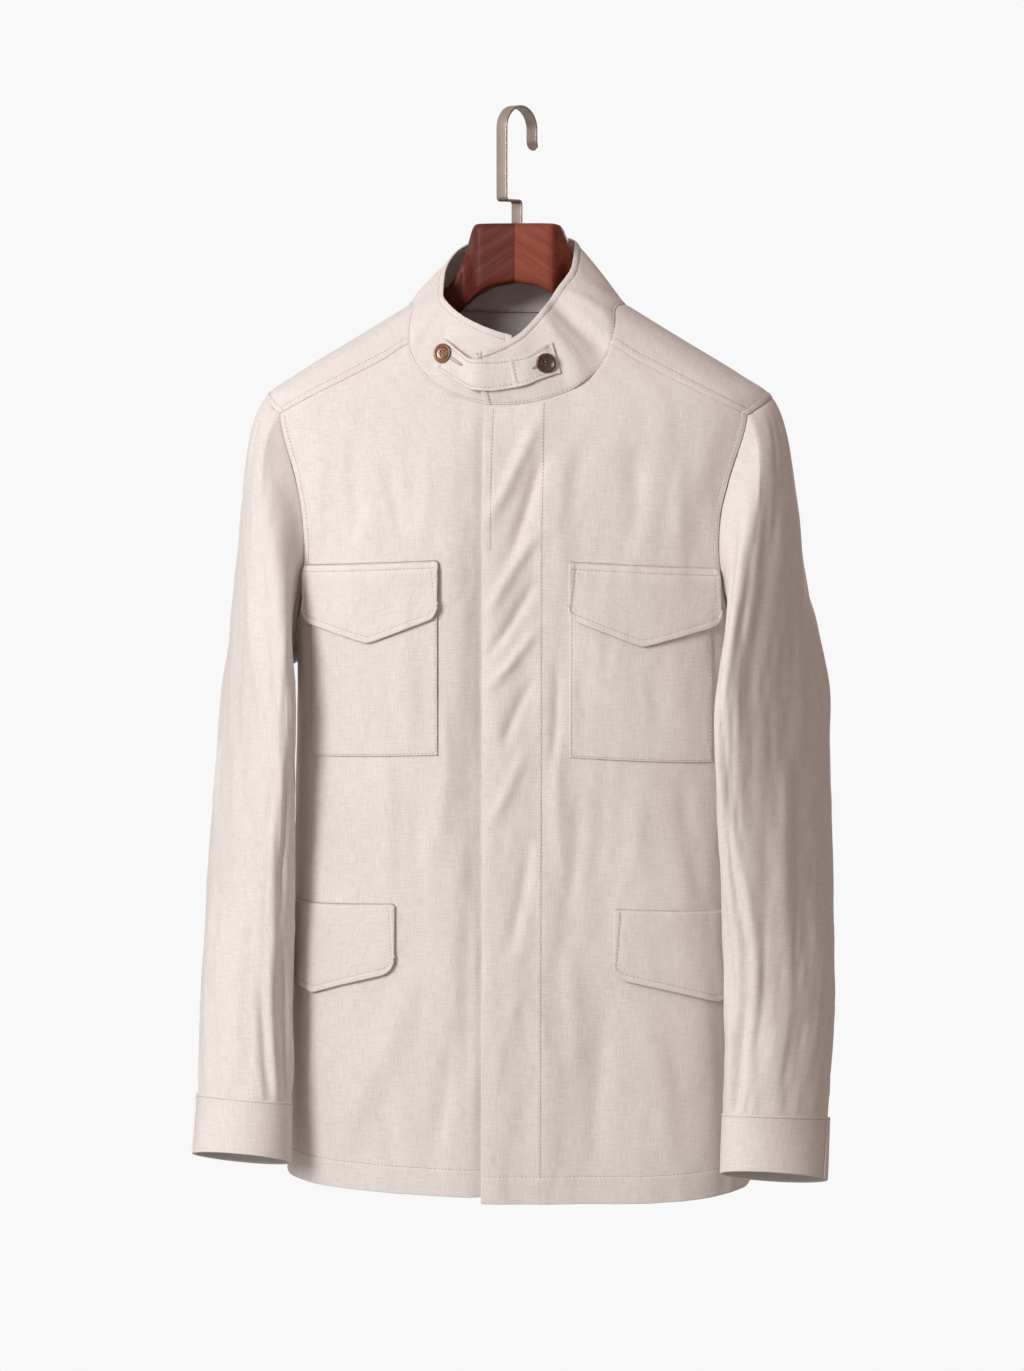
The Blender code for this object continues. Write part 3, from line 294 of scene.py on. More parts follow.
# Sections of one hanger arm from the joint outwards: x, top, bottom, front, back, boxiness.
ARM = (
    (0.0000, -0.1015, -0.1555, -0.017, 0.016, 7.0),
    (0.0200, -0.1015, -0.1580, -0.017, 0.016, 7.0),
    (0.0340, -0.1018, -0.1640, -0.017, 0.016, 7.0),
    (0.0385, -0.1032, -0.1670, -0.010, 0.017, 6.0),
    (0.0425, -0.1110, -0.1700, 0.000, 0.019, 5.0),
    (0.0480, -0.1290, -0.1745, 0.005, 0.022, 4.0),
    (0.0600, -0.1530, -0.1850, 0.003, 0.023, 3.2),
    (0.0800, -0.1690, -0.1985, -0.004, 0.022, 2.8),
    (0.1100, -0.1870, -0.2160, -0.012, 0.020, 2.6),
    (0.1500, -0.2110, -0.2400, -0.020, 0.018, 2.5),
    (0.1900, -0.2350, -0.2650, -0.024, 0.018, 2.4),
    (0.2100, -0.2510, -0.2750, -0.021, 0.014, 2.3),
    (0.2170, -0.2590, -0.2690, -0.012, 0.006, 2.2),
)
HOOK_RADIUS, STRAP_THICKNESS, STRAP_WIDTH, HOOK_TURN = 0.0185, 0.0020, 0.0120, 35.0
ARM_SIDES = 96                # points round a section of the hanger

# Stitching: its distance in from the edge it follows.
HEM_LINE, SEAM_LINE, YOKE_LINE, EDGE_LINE = 0.025, 0.006, 0.007, 0.0017
COLLAR_FOOT_LINE, CUFF_LINE, TAB_LINE = 0.0020, 0.0022, 0.0033
FLAP_SEAM_LINE, FACING_LINE = 0.0052, 0.0077

# Distances from an edge at which a grid is cut, so that rims and stitching have points to move.
NEAR_EDGE = np.array([0.0, 1.7, 2.6, 3.5, 4.4, 5.2, 6.0, 6.8, 7.7, 9.0, 11.5]) / 1000
NEAR_HEM = np.array([
    0.0, 1.7, 3.2, 6.0, 10.0, 14.0, 18.0, 21.0, 22.6, 23.8, 25.0, 26.2, 27.6, 30.0,
]) / 1000
NO_CUTS = np.array([0.0])     # an edge without rim or stitching
CLOTH_STEP = 0.0042           # the usual distance between a grid's points away from its edges


def along(table, at):
    """Values of a table's columns at `at`: cubic pieces whose slope is the harmonic mean of the
    two spans' slopes, or nothing where they turn, so that the curve never overshoots."""
    rows = np.array(sorted(table), float)
    x, y = rows[:, 0], rows[:, 1:]
    rise = np.diff(y, axis=0) / np.diff(x)[:, None]
    product, slope = rise[1:] * rise[:-1], np.empty_like(y)
    total = np.where(product > 0, rise[1:] + rise[:-1], 1.0)
    slope[1:-1] = np.where(product > 0, 2 * product / total, 0.0)
    slope[0], slope[-1] = rise[0], rise[-1]
    at = np.asarray(at, float)
    k = np.clip(np.searchsorted(x, at) - 1, 0, len(x) - 2)
    span = (x[k + 1] - x[k])[..., None]
    t = np.clip((at - x[k])[..., None] / span, 0.0, 1.0)
    value = (
        (1 + 2 * t) * (1 - t) ** 2 * y[k]
        + t * (1 - t) ** 2 * span * slope[k]
        + t**2 * (3 - 2 * t) * y[k + 1]
        - t**2 * (1 - t) * span * slope[k + 1]
    )
    return np.moveaxis(value, -1, 0)


def smoothstep(low, high, value):
    """0 below low, 1 above high, 3t^2 - 2t^3 between."""
    t = np.clip((value - low) / (high - low), 0.0, 1.0)
    return t * t * (3 - 2 * t)


def unit(vectors):
    """Vectors of length 1 along the last axis."""
    return vectors / np.maximum(np.linalg.norm(vectors, axis=-1, keepdims=True), 1e-12)


def run_along(points):
    """Length along a line of points, from 0 at the first to each of the others."""
    steps = np.linalg.norm(np.diff(points, axis=0), axis=1)
    return np.concatenate([[0], np.cumsum(steps)])


def value_noise(x, y, seed):
    """Smooth noise from -1 to 1: random values on a unit lattice, blended by smoothsteps."""
    lattice = np.random.default_rng(seed).uniform(-1, 1, (257, 257))
    x, y = np.asarray(x, float), np.asarray(y, float)
    i, j = np.floor(x).astype(int), np.floor(y).astype(int)
    a, b = smoothstep(0, 1, x - i), smoothstep(0, 1, y - j)
    low = lattice[i % 256, j % 256] * (1 - a) + lattice[(i + 1) % 256, j % 256] * a
    high = lattice[i % 256, (j + 1) % 256] * (1 - a) + lattice[(i + 1) % 256, (j + 1) % 256] * a
    return low * (1 - b) + high * b


def crease_depth(across, up, table):
    """Sum of creases: each is a bell across its line, bowed like a parabola, faded at both ends.

    The first and third columns are in the unit of `across`; lengths along the line are in its own
    share of the way from one end to the other."""
    total = np.zeros(np.broadcast(across, up).shape)
    for a0, z0, a1, z1, width, depth, bow in table:
        t = (up - z0) / (z1 - z0)
        line = a0 + (a1 - a0) * t + bow * 4 * t * (1 - t)
        reach = smoothstep(-0.12, 0.3, t) * (1 - smoothstep(0.7, 1.12, t))
        total = total - depth * reach * np.exp(-(((across - line) / width) ** 2))
    return total


def fold_height(angle, z):
    """The form's long folds, each a bell in angle that grows from its top down."""
    wrapped = (np.asarray(angle, float) + 180.0) % 360.0 - 180.0
    total = np.zeros(np.broadcast(wrapped, z).shape)
    for top_angle, low_angle, top, bottom, width, depth in BODY_FOLDS:
        down = np.clip((top - z) / (top - bottom), 0.0, 1.0)
        away = wrapped - (top_angle + (low_angle - top_angle) * down)
        away = (away + 180.0) % 360.0 - 180.0
        total = total + depth * smoothstep(0.0, 0.45, down) * np.exp(-((away / width) ** 2))
    return total


def body_base(angle, z):
    """Point of the form: an ellipse of the ring at that height, filled out by sin^2 of twice the
    angle, with the long folds added outwards."""
    angle, z = np.broadcast_arrays(np.asarray(angle, float), np.asarray(z, float))
    width, front, back = along(BODY, z)
    turn = np.radians(angle)
    fill = 1 + SQUARENESS * np.sin(2 * turn) ** 2
    depth = np.where(np.cos(turn) > 0, front, back)
    fold = fold_height(angle, z)
    x = width * np.sin(turn) * fill + fold * np.sin(turn)
    y = -depth * np.cos(turn) * fill - fold * np.cos(turn)
    return np.stack([x, y, z], axis=-1)


def body_normal(angle, z):
    """Outward direction of the form, the cross product of short steps round it and up it."""
    round_it = body_base(angle + 0.5, z) - body_base(angle - 0.5, z)
    up_it = body_base(angle, z + 0.001) - body_base(angle, z - 0.001)
    return unit(np.cross(round_it, up_it))


WAIST, RING_ANGLES = -0.6, np.linspace(-180, 180, 721)
RING_GIRTH = run_along(body_base(RING_ANGLES, WAIST))
RING_GIRTH -= RING_GIRTH[360]           # 0 at the centre front


def girth(angle):
    """Length round the waist from the centre front to an angle."""
    return np.interp((np.asarray(angle, float) + 180) % 360 - 180, RING_ANGLES, RING_GIRTH)


CREASING = 2.4                # all creases' depth together


def cloth_relief(angle, z):
    """Listed creases, and the linen's own unevenness as two long soft noises."""
    around = girth(angle)
    calm = smoothstep(-0.20, -0.30, z)
    sway = 0.006 * value_noise(around / 0.060 + 11, z / 0.045 + 31, 22)
    drape = 0.00090 * value_noise((around + sway) / 0.017 + 40, z / 0.075 + 60, 3)
    drape = drape + 0.00042 * value_noise((around + sway) / 0.0085 + 90, z / 0.034 + 20, 4)
    return CREASING * crease_depth(around, z, CREASES) + drape * (0.35 + 0.65 * calm)


def body(angle, z):
    """Point of the cloth: the form, raised along its outward direction by the cloth's relief."""
    angle, z = np.broadcast_arrays(np.asarray(angle, float), np.asarray(z, float))
    return body_base(angle, z) + body_normal(angle, z) * cloth_relief(angle, z)[..., None]


def angle_at(x, z):
    """Angle, between the centre front and the side, where the front reaches x."""
    width = along(BODY, z)[0]
    angle = np.zeros(np.broadcast(x, z).shape)
    for _ in range(12):
        fill = 1 + SQUARENESS * np.sin(2 * angle) ** 2
        angle = np.arcsin(np.clip(x / (width * fill), -0.999, 0.999))
    return np.degrees(angle)


def neckline(angle):
    """Height of the neck seam: the side's, less a fifth power of the cosine in front."""
    turn = np.cos(np.radians(angle))
    drop = NECK_FRONT_DROP * np.clip(turn, 0, None) ** 5 + NECK_BACK_DROP * np.clip(-turn, 0, None) ** 2
    return NECK_SIDE - drop


YOKE_NECK = (YOKE_NECK_ANGLE, float(neckline(YOKE_NECK_ANGLE)))
YOKE_ARM = (float(angle_at(*YOKE_FRONT_ARM)), YOKE_FRONT_ARM[1])
NECK_SHARE = 0.30             # share of a front's columns that end on the neckline


def shares(length, step, first=NEAR_EDGE, last=NEAR_EDGE):
    """Shares from 0 to 1 of a length: close together by both ends, `step` apart between."""
    inner = length - first[-1] - last[-1]
    count = max(2, int(round(inner / step)) + 1)
    middle = first[-1] + inner * np.linspace(0, 1, count)[1:-1]
    return np.concatenate([first, middle, length - last[::-1]]) / length


# ------------------------------------------------------------------ grids of the panels
def hem_height(angle):
    """Height of the hem: a squared sine lifts it at the sides."""
    return HEM + HEM_SIDE_RISE * np.sin(np.radians(angle)) ** 2


def front_top(column):
    """Top edge of a front: the neckline, then the straight forward yoke seam."""
    neck_angle = YOKE_NECK[0] * np.minimum(column, NECK_SHARE) / NECK_SHARE
    run = np.clip((column - NECK_SHARE) / (1 - NECK_SHARE), 0, 1)
    z = YOKE_NECK[1] + (YOKE_ARM[1] - YOKE_NECK[1]) * run
    x = YOKE_FRONT_NECK_X + (YOKE_FRONT_ARM[0] - YOKE_FRONT_NECK_X) * run
    on_neck = column <= NECK_SHARE
    miss = YOKE_NECK[0] - float(angle_at(YOKE_FRONT_NECK_X, YOKE_NECK[1]))
    seam = angle_at(x, z) + miss * (1 - smoothstep(0, 0.25, run))
    angle = np.where(on_neck, neck_angle, seam)
    angle = np.where(np.isclose(column, 1.0), YOKE_ARM[0], angle)
    return angle, np.where(on_neck, neckline(neck_angle), z)


def front_armhole(turn):
    """Angle of the armhole seam on a front: a sine from the side to the yoke, less a scoop."""
    rise = (SIDE_ANGLE - YOKE_ARM[0]) * np.sin(turn)
    return SIDE_ANGLE - rise - ARMHOLE_SCOOP * np.sin(2 * turn) * np.sin(turn)


LOW_ROWS = shares(UNDERARM - HEM, 0.0045, first=NEAR_HEM, last=NO_CUTS)
ARM_SPAN = 0.24               # about the height of the rows beside the armhole
HIGH_TURNS = np.concatenate([
    np.linspace(0, math.pi / 2 - NEAR_EDGE[-1] / ARM_SPAN, 80)[1:],
    math.pi / 2 - NEAR_EDGE[-2::-1] / ARM_SPAN,
])


def front_grid(column, hem_drop):
    """Angles and heights of a front: straight rows up to the underarm, then rows whose rise is
    1 - cos(turn) and whose end follows the armhole."""
    low_angle = SIDE_ANGLE * column
    hem = hem_height(low_angle) - hem_drop
    low_z = hem + (UNDERARM - hem) * LOW_ROWS[:, None]
    top_angle, top_z = front_top(column)
    turn = HIGH_TURNS[:, None]
    rise = 1 - np.cos(turn)
    edge = front_armhole(turn) - ((1 - rise) * SIDE_ANGLE + rise * YOKE_ARM[0])
    high_angle = (1 - rise) * low_angle + rise * top_angle + column * edge
    high_z = UNDERARM + (top_z - UNDERARM) * rise
    angle = np.vstack([np.broadcast_to(low_angle, low_z.shape), high_angle])
    return angle, np.vstack([low_z, high_z])


# Columns of a front: fine where the placket is stitched, and by the side seam.
FRONT_COLUMNS = np.concatenate([
    np.linspace(0, 0.062, 15)[:-1], np.linspace(0.062, 0.150, 32)[:-1],
    np.linspace(0.150, NECK_SHARE, 12)[:-1],
    NECK_SHARE + (1 - NECK_SHARE) * shares(0.20, 0.0045, first=NO_CUTS),
])
LAP_COLUMNS = len(NEAR_EDGE) + 2


def front(side):
    """A front with its lap past the centre. The left one is lifted over the right as far as the
    placket's fold, and the right one sinks a little behind it."""
    lap_edge = PLACKET_EDGE if side > 0 else -UNDERLAP_EDGE
    drop = 0.0026 * (1 - smoothstep(0.30, 0.75, FRONT_COLUMNS)) if side > 0 else 0.0
    angle, z = front_grid(FRONT_COLUMNS, drop)
    steps = np.concatenate([NEAR_EDGE, np.linspace(NEAR_EDGE[-1], abs(lap_edge), 4)[1:-1]])
    lap_x = np.sign(lap_edge) * (abs(lap_edge) - steps)
    angle = np.hstack([angle_at(lap_x, z[:, :1]), angle])
    z = np.hstack([np.repeat(z[:, :1], len(steps), axis=1), z])
    points, normal = body(side * angle, z), body_normal(side * angle, z)
    x, z = side * points[..., :1], z[..., None]
    if side > 0:
        lift = LAP_LIFT * (1 - smoothstep(PLACKET_FOLD, PLACKET_END, x))
        roll = 0.0042 + 0.0016 * value_noise(0.5, z / 0.11 + 20, 23)
        edge_share = 1 - smoothstep(PLACKET_EDGE, 0.031, x)
        return points + normal * (lift + roll * edge_share * smoothstep(-0.245, -0.33, z))
    broad = 0.0040 * np.exp(-(((x - 0.010) / 0.030) ** 2))
    narrow = 0.0026 * np.exp(-(((x - 0.0195) / 0.0055) ** 2))
    sink = broad * smoothstep(-0.26, -0.36, z) + narrow * smoothstep(-0.245, -0.30, z)
    return (points - normal * sink)[:, ::-1]


BACK_WIDE = 0.47              # about the back's width, by which its columns are spaced


def back():
    """The back: rows from side seam to side seam, then rows that narrow up the armholes."""
    half = 2 * shares(BACK_WIDE, 0.0055) - 1
    side, corner = 180 - SIDE_ANGLE, 180 - YOKE_BACK_ANGLE
    low_angle = 180 + side * half
    hem = hem_height(low_angle)
    low_z = hem + (UNDERARM - hem) * LOW_ROWS[:, None]
    rise = 1 - np.cos(HIGH_TURNS)[:, None]
    edge = side - (side - corner) * np.sin(HIGH_TURNS)[:, None]
    high_angle = 180 + half * edge
    high_z = np.broadcast_to(UNDERARM + (YOKE_BACK - UNDERARM) * rise, high_angle.shape)
    angle = np.vstack([np.broadcast_to(low_angle, low_z.shape), high_angle])
    return body(angle, np.vstack([low_z, high_z]))


def shoulder_edge(angle):
    """Height of the armhole seam over the shoulder: a parabola each way from the tip."""
    ahead = np.clip((90 - angle) / (90 - YOKE_ARM[0]), 0, 1)
    behind = np.clip((angle - 90) / (YOKE_BACK_ANGLE - 90), 0, 1)
    low = np.where(angle < 90, SHOULDER_TIP - YOKE_ARM[1], SHOULDER_TIP - YOKE_BACK)
    return SHOULDER_TIP - low * np.where(angle < 90, ahead, behind) ** 2


TIP_SHARE, CORNER_SHARE = 0.36, 0.62      # shares of half a yoke's rows at the shoulder and at the back


def yoke():
    """The yoke: rows fan round the neck from one forward seam over the back to the other."""
    column = NECK_SHARE + (1 - NECK_SHARE) * shares(0.15, CLOTH_STEP)
    across = (column - NECK_SHARE) / (1 - NECK_SHARE)
    share = np.concatenate([
        TIP_SHARE * shares(0.055, CLOTH_STEP, last=NO_CUTS),
        np.linspace(TIP_SHARE, CORNER_SHARE, 22)[1:], np.linspace(CORNER_SHARE, 1.0, 40)[1:],
    ])
    marks = (0, TIP_SHARE, CORNER_SHARE, 1)
    outer_angle = np.interp(share, marks, (YOKE_ARM[0], 90, YOKE_BACK_ANGLE, 180))
    outer_z = np.where(share < CORNER_SHARE, shoulder_edge(outer_angle), YOKE_BACK)
    inner_angle = YOKE_NECK[0] + (180 - YOKE_NECK[0]) * share
    inner_z = neckline(inner_angle)
    angle = inner_angle[:, None] + (outer_angle - inner_angle)[:, None] * across
    z = inner_z[:, None] + (outer_z - inner_z)[:, None] * across
    seam_angle, seam_z = front_top(column)
    fade = (1 - smoothstep(0, TIP_SHARE, share))[:, None]
    angle, z = angle + (seam_angle - angle[0]) * fade, z + (seam_z - z[0]) * fade
    return body(np.vstack([angle, 360 - angle[-2::-1]]), np.vstack([z, z[-2::-1]]))


def armhole_raw(turn):
    """The wearer's left armhole by the sleeve's turn: shoulder, front, back, shoulder."""
    turn = np.asarray(turn, float) % 360
    ahead = 90 + (YOKE_ARM[0] - 90) * turn / 50
    front_turn = np.radians(90 * (180 - turn) / 130)
    back_turn = np.radians(90 * (turn - 180) / 120)
    behind = YOKE_BACK_ANGLE + (90 - YOKE_BACK_ANGLE) * (turn - 300) / 60
    stretch = [turn <= 50, turn <= 180, turn <= 300]
    angle = np.select(stretch, [
        ahead, front_armhole(front_turn),
        SIDE_ANGLE + (YOKE_BACK_ANGLE - SIDE_ANGLE) * np.sin(back_turn),
    ], behind)
    z = np.select(stretch, [
        shoulder_edge(ahead), UNDERARM + (YOKE_ARM[1] - UNDERARM) * (1 - np.cos(front_turn)),
        UNDERARM + (YOKE_BACK - UNDERARM) * (1 - np.cos(back_turn)),
    ], shoulder_edge(behind))
    return body(angle, z)


# Turns round the armhole, the seam's length up to each, and marks that ease one into the other.
WHOLE_TURN = 359.999          # just short of the first point, where the seam closes
ARM_TURNS = np.linspace(0, WHOLE_TURN, 1441)
ARM_LENGTH = run_along(armhole_raw(ARM_TURNS))
ARM_MARKS = [
    (t, float(np.interp(t, ARM_TURNS, ARM_LENGTH))) for t in (0, 50, 115, 180, 240, 300, WHOLE_TURN)
]
ARM_MARKS = (
    [(t - WHOLE_TURN, s - ARM_LENGTH[-1]) for t, s in ARM_MARKS[-3:-1]] + ARM_MARKS
    + [(t + WHOLE_TURN, s + ARM_LENGTH[-1]) for t, s in ARM_MARKS[1:3]]
)


def armhole(turn):
    """The armhole with its points eased along the seam, so that columns change pace smoothly."""
    eased = along(ARM_MARKS, np.asarray(turn, float) % 360)[0]
    return armhole_raw(np.interp(eased, ARM_LENGTH, ARM_TURNS))


def sleeve_ring(z, turns):
    """Ellipses across the sleeve's centre line, their long side turned and their seams twisted."""
    z = np.asarray(z, float)[:, None]
    side, ahead, long_half, short_half, turn, twist = along(SLEEVE, z)
    step = 0.004
    near = np.clip(z, SLEEVE[0][0] + step, SLEEVE[-1][0] - step)
    rise = along(SLEEVE, near + step) - along(SLEEVE, near - step)
    axis = unit(np.stack([rise[0], rise[1], np.full_like(z, 2 * step)], axis=-1))
    turn = np.radians(turn)
    forward = np.stack([-np.sin(turn), -np.cos(turn), np.zeros_like(turn)], axis=-1)
    forward = unit(forward - np.sum(forward * axis, -1, keepdims=True) * axis)
    outward = np.cross(forward, axis)
    outward = outward * np.sign(outward[..., :1])
    at = np.radians(turns[None, :] + twist)
    centre = np.stack([side, ahead, z], axis=-1)
    return (
        centre + (long_half * np.sin(at))[..., None] * forward
        + (short_half * np.cos(at))[..., None] * outward
    )


def cuff_lean(points):
    """How far points lie out from the wrist's middle, faded out above the cuff."""
    near = 1 - smoothstep(0.0, 0.10, points[..., 2] - CUFF_SEAM)
    return near * (points[..., 0] - along(SLEEVE, CUFF_SEAM)[0])


def clear_of_body(points):
    """Sleeve points moved out sideways until they clear the body's side."""
    width, front_depth, back_depth = along(BODY, points[..., 2])
    depth = np.where(points[..., 1] < 0, front_depth, back_depth)
    share = np.clip(1 - (points[..., 1] / depth) ** 2, 0, 1)
    limit = (width * (1 + 0.03 * share) + BODY_CLEARANCE) * np.sqrt(share)
    below = np.clip((UNDERARM - points[..., 2]) / 0.008, 0, 1)
    moved = points.copy()
    moved[..., 0] += below * np.clip(limit - points[..., 0], 0, None)
    return moved


SLEEVE_CREASING = 2.2         # all of a sleeve's creases' depth together
DEGREE_LENGTH = 0.0016        # about a sleeve's cloth in one degree of its turn


def sleeve_panel(side, first, last):
    """A sleeve piece between two turns: Hermite rows from the armhole to the first ring, then
    rings down to the cuff. Rows run upwards and turns run back, so that the outside faces out."""
    turns = (first + (last - first) * shares((last - first) * DEGREE_LENGTH, CLOTH_STEP))[::-1]
    head = np.concatenate([[0, 0.004, 0.008, 0.013, 0.02, 0.03], np.linspace(0.045, 1, 64)])
    head = head[:, None, None]
    down = CUFF_SEAM - SLEEVE_HEAD_END
    stations = SLEEVE_HEAD_END + down * shares(-down, CLOTH_STEP, first=NO_CUTS)
    loop = armhole(turns)
    tube = clear_of_body(sleeve_ring(stations, turns))
    ahead = clear_of_body(sleeve_ring(stations[:1] - 0.002, turns))[0] - tube[0]
    at = np.radians(turns)
    out = np.stack([0.6 + 0.1 * np.cos(at), -0.45 * np.sin(at), -0.42 - 0.38 * np.cos(at)], -1)
    reach = np.linalg.norm(tube[0] - loop, axis=-1, keepdims=True)
    start, end = unit(out) * reach * HEAD_FULLNESS, unit(ahead) * reach
    rows = (
        (1 + 2 * head) * (1 - head) ** 2 * loop + head * (1 - head) ** 2 * start
        + head**2 * (3 - 2 * head) * tube[0] - head**2 * (1 - head) * end
    )
    grid = np.concatenate([rows[:1], clear_of_body(rows[1:]), tube[1:]])
    turn = np.broadcast_to(turns, grid.shape[:2])
    creases = crease_depth(turn % 360, grid[..., 2], SLEEVE_CREASES[side])
    soft = value_noise(turn / 14 + 30, grid[..., 2] / 0.075 + 50, 5 if side == "left" else 6)
    fine = value_noise(turn / 6 + 10, grid[..., 2] / 0.028 + 80, 7)
    from_seam = lengths(grid)[1]
    raised = SLEEVE_CREASING * creases + 0.0013 * soft + 0.00060 * fine
    raised = raised * smoothstep(0, 0.03, from_seam)
    raised = raised * (0.05 + 0.95 * smoothstep(0.003, 0.024, grid[..., 2] - CUFF_SEAM))
    grid[..., 2] += CUFF_TILT[side] * cuff_lean(grid)
    grid = grid[::-1] + grid_normals(grid[::-1]) * raised[::-1, :, None]
    return grid if side == "left" else mirrored(grid)


def mirrored(grid):
    """The same grid on the other side of the body, its columns reversed to keep its outside out."""
    return (grid * np.array([-1.0, 1.0, 1.0]))[:, ::-1]


def grid_normals(grid):
    """Outward directions: rows' direction crossed with columns' direction."""
    return unit(np.cross(np.gradient(grid, axis=1), np.gradient(grid, axis=0)))


def cuff(side):
    """A cuff: a strip once round the wrist whose outer end laps over its start at the hind seam. Its
    open edge sags behind."""
    turns = (HIND_TURN + (360 + CUFF_LAP) * shares(CUFF_LONG, CLOTH_STEP))[::-1]
    tall = CUFF_SEAM + CUFF_OVER - CUFF_END
    stations = CUFF_END + tall * shares(tall, CLOTH_STEP)
    grid = sleeve_ring(stations, turns)
    grid[..., 2] += CUFF_TILT[side] * cuff_lean(grid)
    behind = grid[..., 1] - grid[..., 1].mean(axis=1, keepdims=True)
    grid[..., 2] -= CUFF_SAG * behind * smoothstep(0, tall, CUFF_END + tall - stations)[:, None]
    over = smoothstep(HIND_TURN + 310, HIND_TURN + 360, turns)
    wave = value_noise(turns / 30 + 12, stations[:, None] / 0.05 + 40, 8)
    grid = grid + grid_normals(grid) * (0.0019 * over + 0.0004 + 0.0002 * wave)[..., None]
    return grid if side == "left" else mirrored(grid)


def collar():
    """The collar: straight rows from the neck seam to its top edge, bulged by 4t(1-t). The corner
    of its outer end is a quarter disc: the square there is drawn in by max(a, b) / hypot(a, b)."""
    right, left, middle = front(-1), front(1), yoke()
    on_neck = int(np.sum(FRONT_COLUMNS <= NECK_SHARE + 1e-6)) + LAP_COLUMNS
    base = np.concatenate([
        right[-1, ::-1][:on_neck], middle[-2::-1, 0], left[-1, :on_neck][::-1][1:],
    ])
    run = run_along(base)
    across, up = np.meshgrid(run[-1] * shares(run[-1], 0.0040), shares(0.055, 0.0040))
    tall, radius = 0.050, 0.0045
    a = np.clip(radius - (run[-1] - across), 0, None)
    b = np.clip(radius - (1 - up) * tall, 0, None)
    draw = np.maximum(a, b) / np.maximum(np.hypot(a, b), 1e-9)
    corner = (a > 0) & (b > 0)
    across = np.where(corner, run[-1] - radius + a * draw, across)
    up = np.where(corner, 1 - (radius - b * draw) / tall, up)
    foot = np.stack([np.interp(across, run, base[:, k]) for k in range(3)], axis=-1)
    angle = np.unwrap(np.degrees(np.arctan2(-base[:, 0], -(base[:, 1] - NECK_CENTRE_Y))), period=360)
    top = np.moveaxis(along(COLLAR_EDGE, np.interp(across, run, angle)), 0, -1)
    out = (foot + top) / 2 - np.array([0.0, NECK_CENTRE_Y, 0.0])
    out[..., 2] = 0
    t = up[..., None]
    grid = foot + (top - foot) * t + COLLAR_BULGE * 4 * t * (1 - t) * unit(out)
    soft = value_noise(across / 0.045 + 15, up * 1.3 + 8, 9)
    fine = value_noise(across / 0.014 + 5, up * 3 + 70, 10)
    rise = (0.0009 * soft + 0.0003 * fine) * np.sin(np.pi * np.clip(up, 0, 1) * 0.92)
    rise = rise + crease_depth(run[-1] - across, up, COLLAR_CREASES)
    rise = rise + 0.0012 * (1 - smoothstep(0.0, 0.030, run[-1] - across)) * smoothstep(0.3, 0.9, up)
    grid = grid[:, ::-1]
    return grid + grid_normals(grid) * rise[:, ::-1, None]


# ------------------------------------------------------------------ sewn edges, walls and stitching
def lengths(grid):
    """Distances along the rows and up the columns, each summed from its own start."""
    across = np.linalg.norm(np.diff(grid, axis=1, prepend=grid[:, :1]), axis=-1)
    up = np.linalg.norm(np.diff(grid, axis=0, prepend=grid[:1]), axis=-1)
    return np.cumsum(across, axis=1), np.cumsum(up, axis=0)


def from_edges(grid):
    """Distance of every point from each edge, and how far along that edge it lies."""
    across, up = lengths(grid)
    return {
        "left": (across, up), "right": (across[:, -1:] - across, up),
        "bottom": (up, across), "top": (up[-1:] - up, across),
    }


def sewn_relief(away, run, line, seed):
    """Height by a sewn edge: raised over the allowance as far as the stitching, sunk on it, and
    puckered by short noise that dies out as a bell. With no line the edge only sinks and puckers."""
    pucker = value_noise(run / 0.0048 + seed, away / 0.016 + 3 * seed, seed)
    if line is None:
        sink = -0.00028 * np.exp(-((away / 0.0022) ** 2))
        return sink + 0.00016 * pucker * np.exp(-((away / 0.008) ** 2))
    welt = 0.00045 * (1 - smoothstep(line - 0.0004, line + 0.0012, away))
    groove = -0.00058 * np.exp(-(((away - line) / 0.0008) ** 2))
    return welt + groove + 0.00020 * pucker * np.exp(-(((away - line) / 0.0075) ** 2))


def sewn(grid, edges, seed):
    """The grid raised along its outward directions by its sewn edges: edge, line, strength."""
    sides, normal = from_edges(grid), grid_normals(grid)
    height = np.zeros(grid.shape[:2])
    for number, (edge, line, strength) in enumerate(edges):
        height = height + strength * sewn_relief(*sides[edge], line, seed + number)
    return grid + normal * height[..., None]


def level_line(grid, normal, field, level):
    """Where a field that grows along the columns passes a level, row by row."""
    rows = np.arange(len(field))
    k = np.clip((field < level).sum(axis=1) - 1, 0, field.shape[1] - 2)
    low, high = field[rows, k], field[rows, k + 1]
    t = np.clip((level - low) / np.maximum(high - low, 1e-9), 0, 1)[:, None]
    points = grid[rows, k] * (1 - t) + grid[rows, k + 1] * t
    return points, unit(normal[rows, k] * (1 - t) + normal[rows, k + 1] * t)


def edge_line(grid, edge, distance, trims=(0.002, 0.002), keep=None):
    """Line of stitching at a distance in from an edge, cut short at its two ends."""
    field, normal = from_edges(grid)[edge][0], grid_normals(grid)
    if edge in ("bottom", "top"):
        grid, normal, field = grid.swapaxes(0, 1), normal.swapaxes(0, 1), field.T
    if edge in ("right", "top"):
        grid, normal, field = grid[:, ::-1], normal[:, ::-1], field[:, ::-1]
    return cut_line(*level_line(grid, normal, field, distance), trims, keep)


def cut_line(points, normal, trims=(0.0, 0.0), keep=None):
    """A line without its ends, and only where `keep` holds."""
    run = run_along(points)
    held = (run >= trims[0]) & (run <= run[-1] - trims[1])
    if keep is not None:
        held &= keep(points)
    return points[held], normal[held]


